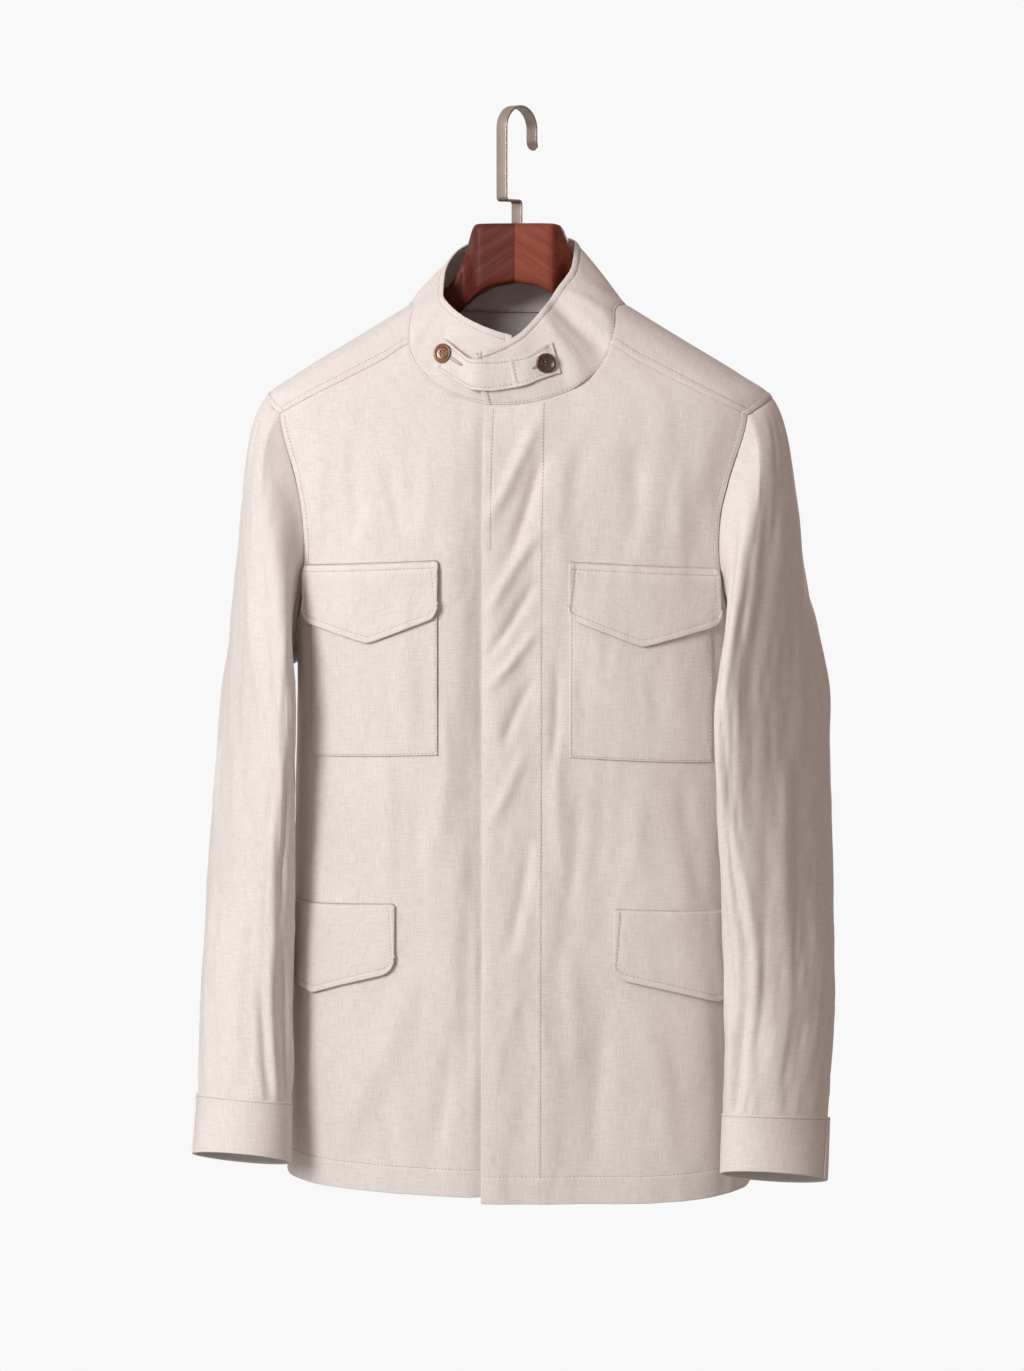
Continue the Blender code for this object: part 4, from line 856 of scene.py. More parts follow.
def mesh_piece(name, points, faces, finish, uv=None):
    """An object of a mesh made from whole arrays, smooth, its UV in metres."""
    mesh = bpy.data.meshes.new(name)
    mesh.from_pydata(points.reshape(-1, 3).tolist(), [], faces)
    if uv is not None:
        corner = np.empty(len(mesh.loops), dtype=np.int32)
        mesh.loops.foreach_get("vertex_index", corner)
        layer = mesh.uv_layers.new(name="cloth")
        layer.data.foreach_set("uv", uv.reshape(-1, 2)[corner].astype(np.float32).ravel())
    mesh.shade_smooth()
    mesh.materials.append(finish)
    made = bpy.data.objects.new(name, mesh)
    bpy.context.scene.collection.objects.link(made)
    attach(made, "root")
    return made


def rolled(name, grid, wall, finish, free=False):
    """A wall behind a grid with a rounded rim. A free edge is half round: its rings are
    P + out r sin a - n r (1 - cos a). A seamed edge is a quarter of an ellipse down to the seam on
    the inner layer, which runs on under the next piece. `free` may be given point by point."""
    normal = grid_normals(grid)
    free = np.broadcast_to(np.asarray(free, bool), grid.shape[:2])[..., None]
    inward = np.zeros_like(grid)
    inward[0] += unit(grid[1] - grid[0])
    inward[-1] += unit(grid[-2] - grid[-1])
    inward[:, 0] += unit(grid[:, 1] - grid[:, 0])
    inward[:, -1] += unit(grid[:, -2] - grid[:, -1])
    reach = np.where(free, wall / 2, SEAM_ROUND)
    outer = grid + inward * reach
    at_edge = np.linalg.norm(inward, axis=-1, keepdims=True) > 0
    behind = wall + ALLOWANCE_SINK * (at_edge & ~free)
    inner = np.where(free, outer, grid - inward * ALLOWANCE) - normal * behind
    rows, columns = grid.shape[:2]
    index = np.arange(rows * columns).reshape(rows, columns)
    loop = np.concatenate([index[0, :-1], index[:-1, -1], index[-1, :0:-1], index[:0:-1, 0]])
    flat = rows * columns
    edge, face = outer.reshape(-1, 3)[loop], normal.reshape(-1, 3)[loop]
    way, reach = -inward.reshape(-1, 3)[loop], reach.reshape(-1, 1)[loop]
    free = free.reshape(-1, 1)[loop]
    turns, quarter = (np.radians(t)[:, None, None] for t in ([45.0, 90.0, 135.0], [26.0, 48.0, 70.0]))
    rings = np.where(
        free, edge + unit(way) * reach * np.sin(turns) - face * reach * (1 - np.cos(turns)),
        edge + way * reach * np.sin(quarter) - face * wall * (1 - np.cos(quarter)),
    )
    points = np.concatenate([outer.reshape(-1, 3), inner.reshape(-1, 3), rings.reshape(-1, 3)])
    levels = [loop] + [2 * flat + k * len(loop) + np.arange(len(loop)) for k in range(3)] + [loop + flat]
    faces = [
        np.stack([index[:-1, :-1], index[:-1, 1:], index[1:, 1:], index[1:, :-1]], -1).reshape(-1, 4),
        flat + np.stack([index[:-1, :-1], index[1:, :-1], index[1:, 1:], index[:-1, 1:]], -1).reshape(-1, 4),
    ]
    for near, far in zip(levels[:-1], levels[1:]):
        faces.append(np.stack([np.roll(near, -1), near, far, np.roll(far, -1)], axis=-1))
    across, up = lengths(grid)
    uv = np.stack([across, up], axis=-1).reshape(-1, 2)
    rim_uv = uv[loop] + np.array([0.0007, 0.0004]) * np.arange(1, 4)[:, None, None]
    uv = np.concatenate([uv, uv, rim_uv.reshape(-1, 2)])
    return mesh_piece(name, points, np.concatenate(faces).tolist(), finish, uv)


STITCH_PITCH, STITCH_LENGTH, THREAD_RADIUS = 0.0033, 0.0023, 0.00028


def stitching(name, lines, finish, pitch=STITCH_PITCH, long=STITCH_LENGTH, radius=THREAD_RADIUS):
    """Stitches along lines: each is two five-sided rings and two tips that dip into the cloth."""
    points, count = [], 0
    for line, normal in lines:
        if len(line) < 2:
            continue
        run = run_along(line)
        centre = np.arange(0.5 * pitch, run[-1], pitch)

        def at(values, where):
            return np.stack([np.interp(where, run, values[:, k]) for k in range(3)], axis=-1)

        out = unit(at(normal, centre))
        start, end = at(line, centre - long / 2), at(line, centre + long / 2)
        ahead = unit(end - start + 1e-9)
        side = np.cross(out, ahead)
        turn = np.radians(72 * np.arange(5))[None, :, None]
        ring = radius * (np.cos(turn) * side[:, None] + np.sin(turn) * out[:, None])
        lift = out * radius * 0.35
        rings = [
            (place + step * ahead + lift)[:, None] + ring
            for place, step in ((start, long * 0.13), (end, -long * 0.13))
        ]
        tips = np.stack([start - lift * 1.5, end - lift * 1.5], axis=1)
        points.append(np.concatenate(rings + [tips], axis=1).reshape(-1, 3))
        count += len(centre)
    k = np.arange(5)
    after = (k + 1) % 5
    one = np.concatenate([
        np.stack([k, after, 5 + after], -1), np.stack([k, 5 + after, 5 + k], -1),
        np.stack([np.full(5, 10), after, k], -1), np.stack([np.full(5, 11), 5 + k, 5 + after], -1),
    ])
    faces = (one[None] + 12 * np.arange(count)[:, None, None]).reshape(-1, 3)
    return mesh_piece(name, np.concatenate(points), faces.tolist(), finish)


# ------------------------------------------------------------------ pockets, flaps and the tab
def laid(side, angle, z, lift):
    """A grid laid on the body's cloth, `lift` above it, turned round for the wearer's right."""
    angle = side * angle
    grid = body(angle, z) + body_normal(angle, z) * np.asarray(lift)[..., None]
    return grid if side > 0 else grid[:, ::-1]


def bulged(across, up):
    """How far a patch stands out in its middle: the product of two sines, rooted to be full."""
    return np.sqrt(np.clip(np.sin(np.pi * across) * np.sin(np.pi * up), 0, None))


def rounded_end(run, length, radius):
    """How far a circle lifts the lower edge of a flap by its two ends."""
    gap = np.clip(radius - np.minimum(run, length - run), 0, radius)
    return radius - np.sqrt(radius**2 - gap**2)


def flap_point(share):
    """1 at a flap's point and 0 at its ends: a V softened by sqrt(t^2 + e^2)."""
    return np.clip(1.02 - np.sqrt(share**2 + 0.0016), 0, 1)


POCKET_LIFT = LAY_GAP + WALL


def chest_pocket(side):
    """A patch pocket, a rectangle that hangs lower at its outer end, a little full of air."""
    wide, tall = CHEST_OUTER - CHEST_INNER, CHEST_TOP - 0.008 - CHEST_BOTTOM
    across, up = np.meshgrid(shares(wide, 0.0028), shares(tall, 0.0032))
    x = CHEST_INNER + wide * across
    z = CHEST_BOTTOM + tall * up - CHEST_TILT * (x - CHEST_INNER)
    own = value_noise(x / 0.024 + 30 * side + 60, z / 0.05 + 50, 12)
    own = own + 0.5 * value_noise(x / 0.009 + 90, z / 0.022 + 70, 13)
    lift = POCKET_LIFT + (0.0011 + 0.0004 * own) * bulged(across, up * 0.9)
    return laid(side, angle_at(x, z), z, lift)


def chest_flap(side):
    """A pointed flap: its lower edge is a softened V with its ends rounded. It climbs over the
    pocket below its seam and its free edge stands a little off."""
    wide = CHEST_FLAP_OUTER - CHEST_FLAP_INNER
    across, down = np.meshgrid(shares(wide, 0.0026), 1 - shares(0.060, 0.0028))
    x = CHEST_FLAP_INNER + wide * across
    low = CHEST_FLAP_SIDE + (CHEST_FLAP_POINT - CHEST_FLAP_SIDE) * flap_point(2 * across - 1)
    low = low + rounded_end(wide * across, wide, 0.008)
    z = CHEST_FLAP_TOP + (low - CHEST_FLAP_TOP) * down - CHEST_TILT * (x - CHEST_FLAP_INNER)
    own = value_noise(x / 0.020 + 10 * side + 40, z / 0.03 + 90, 14)
    lift = LAY_GAP + BAND_WALL + (WALL + 0.0013) * smoothstep(0.0, 0.18, down)
    lift = lift + 0.0018 * down**2 + 0.0004 * own * down
    return laid(side, angle_at(x, z), z, lift)


def lower_flap(side):
    """A wide pointed flap round towards the side seam, made like a chest flap but by angle."""
    inner, point_at, outer = LOWER_FLAP_ANGLES[side]
    across, down = np.meshgrid(shares(LOWER_FLAP_WIDE, 0.0034), 1 - shares(LOWER_FLAP_TALL, 0.0034))
    angle = inner + (outer - inner) * across
    end = np.where(angle < point_at, inner, outer)
    end_low = np.where(angle < point_at, LOWER_FLAP_BOTTOM[0], LOWER_FLAP_BOTTOM[2])
    low = end_low + (LOWER_FLAP_BOTTOM[1] - end_low) * flap_point((angle - point_at) / (end - point_at))
    low = low + rounded_end(LOWER_FLAP_WIDE * across, LOWER_FLAP_WIDE, 0.010)
    top = np.interp(angle, (inner, point_at, outer), LOWER_FLAP_TOP)
    z = top + (low - top) * down
    own = value_noise(angle / 7 + 10 * side + 40, z / 0.03 + 50, 15)
    lift = LAY_GAP + BAND_WALL + 0.0004 + 0.0016 * down**2 + 0.0005 * own * down
    return laid(side, angle, z, lift)


def refined(grid, count):
    """The grid with `count` straight steps in each of its cells, both ways."""
    for axis in (0, 1):
        size = grid.shape[axis]
        at = np.linspace(0, size - 1, (size - 1) * count + 1)
        k = np.minimum(at.astype(int), size - 2)
        share = (at - k).reshape((-1, 1, 1) if axis == 0 else (1, -1, 1))
        grid = np.take(grid, k, axis) * (1 - share) + np.take(grid, k + 1, axis) * share
    return grid


# The map of the cloth under the tab: size of a cell, x and z of its corner, rows and columns.
MAP_CELL, MAP_X, MAP_Z = 0.0015, -0.080, -0.270
MAP_ROWS, MAP_COLUMNS = 60, 100


def neighbours(depth):
    """Every cell's own and its eight neighbours' depths, as nine maps."""
    wide = np.pad(depth, 1, mode="edge")
    return [wide[b:b + MAP_ROWS, a:a + MAP_COLUMNS] for a in range(3) for b in range(3)]


def cover(grids):
    """Map of the front-most cloth over the tab's place: each cell keeps the least y, widened by two
    cells and smoothed, so that a strip over it clears every edge."""
    depth = np.full((MAP_ROWS, MAP_COLUMNS), 0.02)
    for grid in grids:
        dense = refined(grid, 4).reshape(-1, 3)
        i = ((dense[:, 0] - MAP_X) / MAP_CELL).astype(int)
        j = ((dense[:, 2] - MAP_Z) / MAP_CELL).astype(int)
        inside = (i >= 0) & (i < MAP_COLUMNS) & (j >= 0) & (j < MAP_ROWS)
        np.minimum.at(depth, (j[inside], i[inside]), dense[inside, 1])
    for _ in range(2):
        depth = np.min(neighbours(depth), axis=0)
    for _ in range(4):
        depth = np.minimum(np.mean(neighbours(depth), axis=0), depth + 0.0003)
    return depth


def tab_strip(start, end, slant, depth):
    """A stretch of the chin tab between two places, drawn taut over the map of what is under it."""
    share, row = np.meshgrid(shares(abs(end - start), 0.0020), shares(0.027, 0.0020))
    first = start + slant[0] * (1 - row)
    x = first + (end + slant[1] * (1 - row) - first) * share
    upper, lower = along(CHIN_TAB, x)
    z = lower + (upper - lower) * row
    at_x, at_z = (x - MAP_X) / MAP_CELL - 0.5, (z - MAP_Z) / MAP_CELL - 0.5
    i = np.clip(at_x.astype(int), 0, MAP_COLUMNS - 2)
    j = np.clip(at_z.astype(int), 0, MAP_ROWS - 2)
    a, b = at_x - i, at_z - j
    y = (
        depth[j, i] * (1 - a) * (1 - b) + depth[j, i + 1] * a * (1 - b)
        + depth[j + 1, i] * (1 - a) * b + depth[j + 1, i + 1] * a * b
    )
    for _ in range(60):
        y[:, 1:-1] = np.minimum(y[:, 1:-1], (y[:, :-2] + y[:, 2:]) / 2)
        y[1:-1] = np.minimum(y[1:-1], (y[:-2] + y[2:]) / 2)
    for _ in range(6):
        y[:, 1:-1] = (y[:, :-2] + 2 * y[:, 1:-1] + y[:, 2:]) / 4
        y[1:-1] = (y[:-2] + 2 * y[1:-1] + y[2:]) / 4
    return np.stack([x, y, z], axis=-1)


# ------------------------------------------------------------------ buttons, hanger and hook
BUTTON_SIDES, WELL_AWAY = 96, 0.0014      # points round a button, and how far its wells lie out
# A button's face from its middle outwards: share of its radius, share of its height.
FACE_RADII = (0, 0.45, 0.62, 0.74, 0.84, 0.94, 1.0)
FACE_HEIGHTS = (0.56, 0.58, 0.64, 0.90, 1.0, 0.93, 0.60)


def button(name, place, tab, finish, thread):
    """A turned button on the tab: rings of a profile in r and height, with four wells sunk by
    steep bells, set on the tab's direction, and thread through its wells."""
    normal = grid_normals(tab)
    away = np.hypot(tab[..., 0] - place[0], tab[..., 2] - place[1])
    nearest = np.unravel_index(np.argmin(away), away.shape)
    up = unit(normal[nearest] + np.array([0.0, -0.8, 0.04]))
    right = unit(np.cross(np.array([0.0, 0, 1.0]), up) * -1)
    above = np.cross(up, right) * -1
    radius, height = BUTTON_RADIUS, BUTTON_HEIGHT
    ahead = np.concatenate([np.linspace(0.0, 0.40, 26), np.linspace(0.42, 1.0, 24)])
    rings = len(ahead)
    r = radius * np.concatenate([ahead, np.linspace(0.99, 0.0, 12)])
    face = np.interp(r[:rings] / radius, FACE_RADII, FACE_HEIGHTS)
    kernel = np.array([1, 2, 3, 2, 1.0]) / 9
    face[2:-2] = np.convolve(face, kernel, mode="valid")
    level = height * np.concatenate([face, 0.5 * (r[rings:] / radius) ** 8])
    turn = np.linspace(0, 2 * np.pi, BUTTON_SIDES + 1)[:-1]
    a, b = r[:, None] * np.cos(turn), r[:, None] * np.sin(turn)
    rise = np.broadcast_to(level[:, None], a.shape).copy()
    for wa in (-WELL_AWAY, WELL_AWAY):
        for wb in (-WELL_AWAY, WELL_AWAY):
            well = np.exp(-((np.hypot(a - wa, b - wb) / 0.00085) ** 6))
            rise[:rings] -= 0.0011 * well[:rings]
    base = tab[nearest] + up * 0.0006
    points = base + a[..., None] * right + b[..., None] * above + rise[..., None] * up
    index = np.arange(points.shape[0] * BUTTON_SIDES).reshape(-1, BUTTON_SIDES)
    after = np.roll(index, -1, axis=1)
    faces = np.stack([index[:-1], index[1:], after[1:], after[:-1]], -1).reshape(-1, 4)
    made = mesh_piece("horn_" + name, points, faces.tolist(), finish)
    tidy_mesh(made.data)
    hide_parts(name)
    lines, t = [], np.linspace(-1, 1, 9)[:, None]
    for row in (-WELL_AWAY, WELL_AWAY):
        for offset in (-0.0003, 0.0, 0.0003):
            line = base + right * (WELL_AWAY * t) + above * (row + offset)
            line = line + up * (height * 0.62 - 0.0010 * t**4)
            lines.append((line, np.broadcast_to(up, line.shape)))
    return stitching(name + "_thread", lines, thread, pitch=0.0030, long=0.0040, radius=0.00030)


def tidy_mesh(mesh):
    """Merges a mesh's doubled points and turns its faces outwards."""
    work = bmesh.new()
    work.from_mesh(mesh)
    bmesh.ops.remove_doubles(work, verts=work.verts, dist=1e-7)
    bmesh.ops.recalc_face_normals(work, faces=work.faces)
    work.to_mesh(mesh)
    work.free()


def tube(name, rings, finish, sharp, uv=None):
    """A tube of rings with a face on each end; edges that turn by more than `sharp` stay sharp."""
    count = rings.shape[1]
    index = np.arange(rings.shape[0] * count).reshape(-1, count)
    after = np.roll(index, -1, axis=1)
    faces = np.stack([index[:-1], after[:-1], after[1:], index[1:]], -1).reshape(-1, 4).tolist()
    caps = [index[0].tolist(), index[-1].tolist()]
    made = mesh_piece(name, rings, faces + caps, finish, uv)
    tidy_mesh(made.data)
    made.data.set_sharp_from_angle(angle=math.radians(sharp))
    return made


HOLE_STEPS, HOLE_SIDES = 150, 10          # points along a buttonhole's loop, and round it


def buttonhole(name, start, end, tab, finish):
    """A worked buttonhole: close stitches side by side round a long narrow loop on the tab."""
    normal = grid_normals(tab)
    flat, out = tab.reshape(-1, 3), normal.reshape(-1, 3)
    t = np.linspace(0, 2 * np.pi, HOLE_STEPS)
    half = (np.array(end) - np.array(start)) / 2
    middle = (np.array(start) + np.array(end)) / 2
    along_it, across_it = unit(half), np.array([-unit(half)[1], unit(half)[0]])
    reach = np.linalg.norm(half)
    ring = middle + np.outer(np.clip(1.12 * np.cos(t), -1, 1) * reach, along_it)
    ring = ring + np.outer(0.0010 * np.sin(t), across_it)
    near = np.argmin(np.hypot(flat[:, 0] - ring[:, :1], flat[:, 2] - ring[:, 1:]), axis=1)
    place, up = flat[near], out[near]
    for _ in range(8):
        up = unit(np.roll(up, 1, 0) + up + np.roll(up, -1, 0))
    off_x, off_z = ring[:, 0] - place[:, 0], ring[:, 1] - place[:, 2]
    depth = place[:, 1] - (up[:, 0] * off_x + up[:, 2] * off_z) / up[:, 1]
    for _ in range(8):
        depth = (np.roll(depth, 1) + 2 * depth + np.roll(depth, -1)) / 4
    path = np.stack([ring[:, 0], depth, ring[:, 1]], axis=-1) + up * 0.0002
    ahead = unit(np.roll(path, -1, 0) - np.roll(path, 1, 0))
    side = np.cross(up, ahead)
    turn = np.linspace(0, 2 * np.pi, HOLE_SIDES + 1)[None, :-1, None]
    ridge = 0.00016 * (np.arange(HOLE_STEPS) % 2)[:, None, None]
    sideways = (0.00052 + ridge) * (np.cos(turn) * side[:, None])
    outwards = (0.00040 + ridge) * (np.sin(turn) * up[:, None])
    rings = (path[:, None] + sideways + outwards)[:-1]
    index = np.arange(rings.shape[0] * HOLE_SIDES).reshape(-1, HOLE_SIDES)
    after, ahead_index = np.roll(index, -1, axis=1), np.roll(index, -1, axis=0)
    faces = np.stack([index, after, np.roll(after, -1, axis=0), ahead_index], -1).reshape(-1, 4)
    made = mesh_piece(name, rings, faces.tolist(), finish)
    tidy_mesh(made.data)
    return made


def hanger_arm(name, side, finish):
    """An arm: sections |a|^p + |b|^p = 1 between straight lines from row to row of its table, each
    the mean of the sections within 2.2 mm. Its last rings close in to a rounded end."""
    table = np.array(ARM)
    x = np.concatenate([
        np.linspace(0, 0.033, 12)[:-1], np.linspace(0.033, 0.064, 42)[:-1],
        np.linspace(0.064, table[-1, 0], 60),
    ])
    sections = np.mean([
        [np.interp(np.clip(x + step, 0, table[-1, 0]), table[:, 0], table[:, k]) for k in range(1, 6)]
        for step in np.linspace(-0.0022, 0.0022, 7)
    ], axis=0)
    top, bottom, front_y, rear_y, boxy = sections[:, :, None]
    turn = np.linspace(0, 2 * np.pi, ARM_SIDES + 1)[:-1]
    power = 2 / boxy
    across = np.sign(np.cos(turn)) * np.abs(np.cos(turn)) ** power
    up = np.sign(np.sin(turn)) * np.abs(np.sin(turn)) ** power
    arch = 0.0015 * np.clip(1 - (x[:, None] / 0.030) ** 2, 0, 1) * np.clip(-up, 0, 1)
    scale = 1 - 0.55 * smoothstep(0.2125, 0.2172, x)[:, None]
    y = (front_y + rear_y) / 2 + (rear_y - front_y) / 2 * across * scale
    z = (top + bottom) / 2 + ((top - bottom) / 2 * up + arch) * scale
    out = np.broadcast_to(side * np.maximum(x, SEAM_GAP / 2)[:, None], y.shape)
    rings = np.stack([out, y, z], axis=-1)
    made = tube("mahogany_" + name, rings, finish, 42)
    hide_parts(name)


def strap_path():
    """Centre line of the strap: straight runs and arcs, each arc's steps turning evenly. A move is
    the length of a straight run, or else the radius of an arc and its turn in degrees."""
    bend, radius, foot = 0.003, HOOK_RADIUS + STRAP_THICKNESS / 2, ARM[0][1] + 0.00036
    first_rise = 0.0165
    second_rise = -HOOK_RADIUS - (foot + first_rise + 2 * bend)
    moves = (
        (first_rise, 0, 0), (0, bend, 90), (radius - 2 * bend, 0, 0), (0, bend, -90),
        (second_rise, 0, 0), (0, radius, -180), (0.009, 0, 0), (0, 0.012, 25), (0.004, 0, 0),
    )
    place, heading, points = np.array([0.0, foot]), 90.0, [np.array([0.0, foot])]
    for length, arc, turn in moves:
        steps = max(2, round(abs(turn) / 6)) if turn else max(2, int(length / 0.0015))
        shift = np.radians(heading + turn / steps * (np.arange(steps) + 0.5))
        chord = length / steps if not turn else 2 * arc * math.sin(math.radians(abs(turn) / steps) / 2)
        run = place + np.cumsum(chord * np.stack([np.cos(shift), np.sin(shift)], -1), axis=0)
        points.extend(run)
        place, heading = run[-1], heading + turn
    return np.array(points)


def hook(finish):
    """The strap: a rounded rectangle carried along its path, narrowed at its tip like the end of an
    ellipse and closed by caps."""
    path = strap_path()
    ahead = unit(np.gradient(path, axis=0))
    normal = np.stack([-ahead[:, 1], ahead[:, 0]], axis=-1)
    wide, thick, radius = STRAP_WIDTH / 2, STRAP_THICKNESS / 2, 0.0005
    arc = np.radians(np.linspace(0, 90, 5))
    corner = [(1, 1, 0), (-1, 1, 90), (-1, -1, 180), (1, -1, 270)]
    ring = np.concatenate([
        np.stack([sx * (wide - radius) + radius * np.cos(arc + math.radians(t)),
                  sy * (thick - radius) + radius * np.sin(arc + math.radians(t))], -1)
        for sx, sy, t in corner
    ])
    reach = run_along(path)
    from_tip = reach[-1] - reach
    narrow = np.where(from_tip < wide, np.sqrt(np.clip(1 - (1 - from_tip / wide) ** 2, 0, 1)), 1)
    narrow = (0.35 + 0.65 * narrow)[:, None, None]
    turn = math.radians(HOOK_TURN)
    backward, up = np.array([math.sin(turn), math.cos(turn), 0.0]), np.array([0, 0, 1.0])
    across = np.cross(backward, up)
    centre = path[:, :1] * backward + path[:, 1:] * up
    out = normal[:, :1] * backward + normal[:, 1:] * up
    rings = centre[:, None] + ring[None, :, :1] * narrow * across + ring[None, :, 1:] * out[:, None]
    uv = np.stack(np.broadcast_arrays(ring[None, :, 0], reach[:, None]), axis=-1)
    made = tube("strap_hook", rings, finish, 40, uv)
    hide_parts("hook")


# ------------------------------------------------------------------ finishes
def node(tree, kind, **settings):
    """A node with its settings and the values of its unlinked sockets, by name or number."""
    made = tree.nodes.new("ShaderNode" + kind)
    for key, value in settings.items():
        if key == "sockets":
            for name, number in value.items():
                made.inputs[name].default_value = number
        else:
            setattr(made, key, value)
    return made


def math_node(tree, operation, *values):
    """A Math node whose values are numbers or other nodes' sockets."""
    made = node(tree, "Math", operation=operation)
    for socket, value in zip(made.inputs, values):
        if isinstance(value, (int, float)):
            socket.default_value = value
        else:
            tree.links.new(value, socket)
    return made.outputs[0]


def stretched_noise(tree, vector, scale, detail=2.0, rough=0.5, turn=(0, 0, 0)):
    """Noise whose features are long in one direction: a Mapping stretches the place first."""
    mapping = node(tree, "Mapping", sockets={"Scale": scale, "Rotation": turn})
    tree.links.new(vector, mapping.inputs["Vector"])
    noise = node(tree, "TexNoise", sockets={"Scale": 1.0, "Detail": detail, "Roughness": rough})
    tree.links.new(mapping.outputs["Vector"], noise.inputs["Vector"])
    return noise.outputs["Fac"]


def shader_group(name, inputs, outputs):
    """An empty node group with float or vector sockets."""
    tree = bpy.data.node_groups.new(name, "ShaderNodeTree")
    for label, kind, value in inputs:
        socket = tree.interface.new_socket(label, in_out="INPUT", socket_type="NodeSocket" + kind)
        if value is not None:
            socket.default_value = value
    for label in outputs:
        tree.interface.new_socket(label, in_out="OUTPUT", socket_type="NodeSocketFloat")
    return tree, tree.nodes.new("NodeGroupInput"), tree.nodes.new("NodeGroupOutput")


def plain_weave():
    """Plain weave in metres: the product of two sines is its crossings, and two stretched noises
    are its slubs, thick places along the weft and the warp."""
    tree, given, result = shader_group(
        "plain_weave", (("Place", "Vector", None), ("Threads", "Float", 1400.0), ("Slub", "Float", 1.0)),
        ("Shade", "Height"),
    )
    place = given.outputs["Place"]
    axes = node(tree, "SeparateXYZ")
    tree.links.new(place, axes.inputs[0])
    sway = stretched_noise(tree, place, (70, 70, 1), 1.0)
    sway = math_node(tree, "MULTIPLY", sway, 0.0016)
    waves = []
    for axis in ("X", "Y"):
        shifted = math_node(tree, "ADD", axes.outputs[axis], sway)
        turns = math_node(tree, "MULTIPLY", shifted, given.outputs["Threads"])
        waves.append(math_node(tree, "SINE", math_node(tree, "MULTIPLY", turns, math.pi)))
    crossing = math_node(tree, "MULTIPLY", *waves)
    weft = stretched_noise(tree, place, (75, 950, 1), 3.0, 0.62)
    warp = stretched_noise(tree, place, (900, 62, 1), 3.0, 0.62)
    slubs = math_node(tree, "SUBTRACT", math_node(tree, "ADD", weft, warp), 1.0)
    slubs = math_node(tree, "MULTIPLY", slubs, given.outputs["Slub"])
    shade = math_node(tree, "MULTIPLY_ADD", slubs, 1.0, 0.5)
    shade = math_node(tree, "MULTIPLY_ADD", crossing, 0.08, shade)
    height = math_node(tree, "MULTIPLY_ADD", slubs, 1.6, math_node(tree, "MULTIPLY", crossing, 0.35))
    tree.links.new(shade, result.inputs["Shade"])
    tree.links.new(height, result.inputs["Height"])
    return tree


def finish_material(name, colour, roughness, **constants):
    """A material with its Principled shader's plain numbers set on the shader itself."""
    made = bpy.data.materials.new(name)
    made.use_nodes = True
    tree = made.node_tree
    shader = tree.nodes["Principled BSDF"]
    shader.inputs["Base Color"].default_value = (*colour, 1.0)
    shader.inputs["Roughness"].default_value = roughness
    for label, value in constants.items():
        shader.inputs[label.replace("_", " ")].default_value = value
    return made, tree, shader


def ramp(tree, factor, stops):
    """A colour ramp on a factor."""
    made = node(tree, "ValToRGB")
    made.color_ramp.interpolation = "B_SPLINE" if len(stops) > 2 else "LINEAR"
    while len(made.color_ramp.elements) < len(stops):
        made.color_ramp.elements.new(0.5)
    for element, (place, colour) in zip(made.color_ramp.elements, stops):
        element.position, element.color = place, (*colour, 1.0)
    tree.links.new(factor, made.inputs["Fac"])
    return made.outputs["Color"]


def bumped(tree, shader, height, strength, distance):
    """A Bump on the shader's normal."""
    bump = node(tree, "Bump", sockets={"Strength": strength, "Distance": distance})
    tree.links.new(height, bump.inputs["Height"])
    tree.links.new(bump.outputs["Normal"], shader.inputs["Normal"])


LINEN_DARK, LINEN_LIGHT = (0.610, 0.540, 0.505), (0.855, 0.805, 0.780)


def linen_material(weave):
    """Natural linen: the weave's shade between two tones, faint cloudiness, and a rough bump."""
    made, tree, shader = finish_material(
        "linen", LINEN_LIGHT, 0.86, Specular_IOR_Level=0.22, Sheen_Weight=0.12, Sheen_Roughness=0.45)
    place = node(tree, "TexCoord")
    cloth = node(tree, "Group", node_tree=weave, sockets={"Threads": 1300.0, "Slub": 1.0})
    tree.links.new(place.outputs["UV"], cloth.inputs["Place"])
    cloud = stretched_noise(tree, place.outputs["Object"], (9, 9, 9), 3.0, 0.55)
    cloud = math_node(tree, "SUBTRACT", cloud, 0.5)
    tone = math_node(tree, "MULTIPLY_ADD", cloud, 0.35, cloth.outputs["Shade"])
    colour = ramp(tree, tone, ((0.0, LINEN_DARK), (1.0, LINEN_LIGHT)))
    tree.links.new(colour, shader.inputs["Base Color"])
    rough = math_node(tree, "MULTIPLY_ADD", tone, 0.10, 0.80)
    tree.links.new(rough, shader.inputs["Roughness"])
    bumped(tree, shader, cloth.outputs["Height"], 0.55, 0.00016)
    return made


def thread_with_painted_shade_material():
    """Linen thread, coloured darker than the cloth as painted shade of the stitch holes and grooves, with a
    fine twisted bump.
    """
    # The thread's dark base colour and both dark ends of its ramp are painted shade of the stitch holes and
    # grooves.
    made, tree, shader = finish_material("thread", (0.45, 0.37, 0.32), 0.62, Sheen_Weight=0.1)
    place = node(tree, "TexCoord")
    twist = stretched_noise(tree, place.outputs["Object"], (2600, 2600, 2600), 1.0)
    colour = ramp(tree, twist, ((0.25, (0.30, 0.235, 0.195)), (0.75, (0.58, 0.495, 0.435))))
    tree.links.new(colour, shader.inputs["Base Color"])
    bumped(tree, shader, twist, 0.35, 0.0001)
    return made


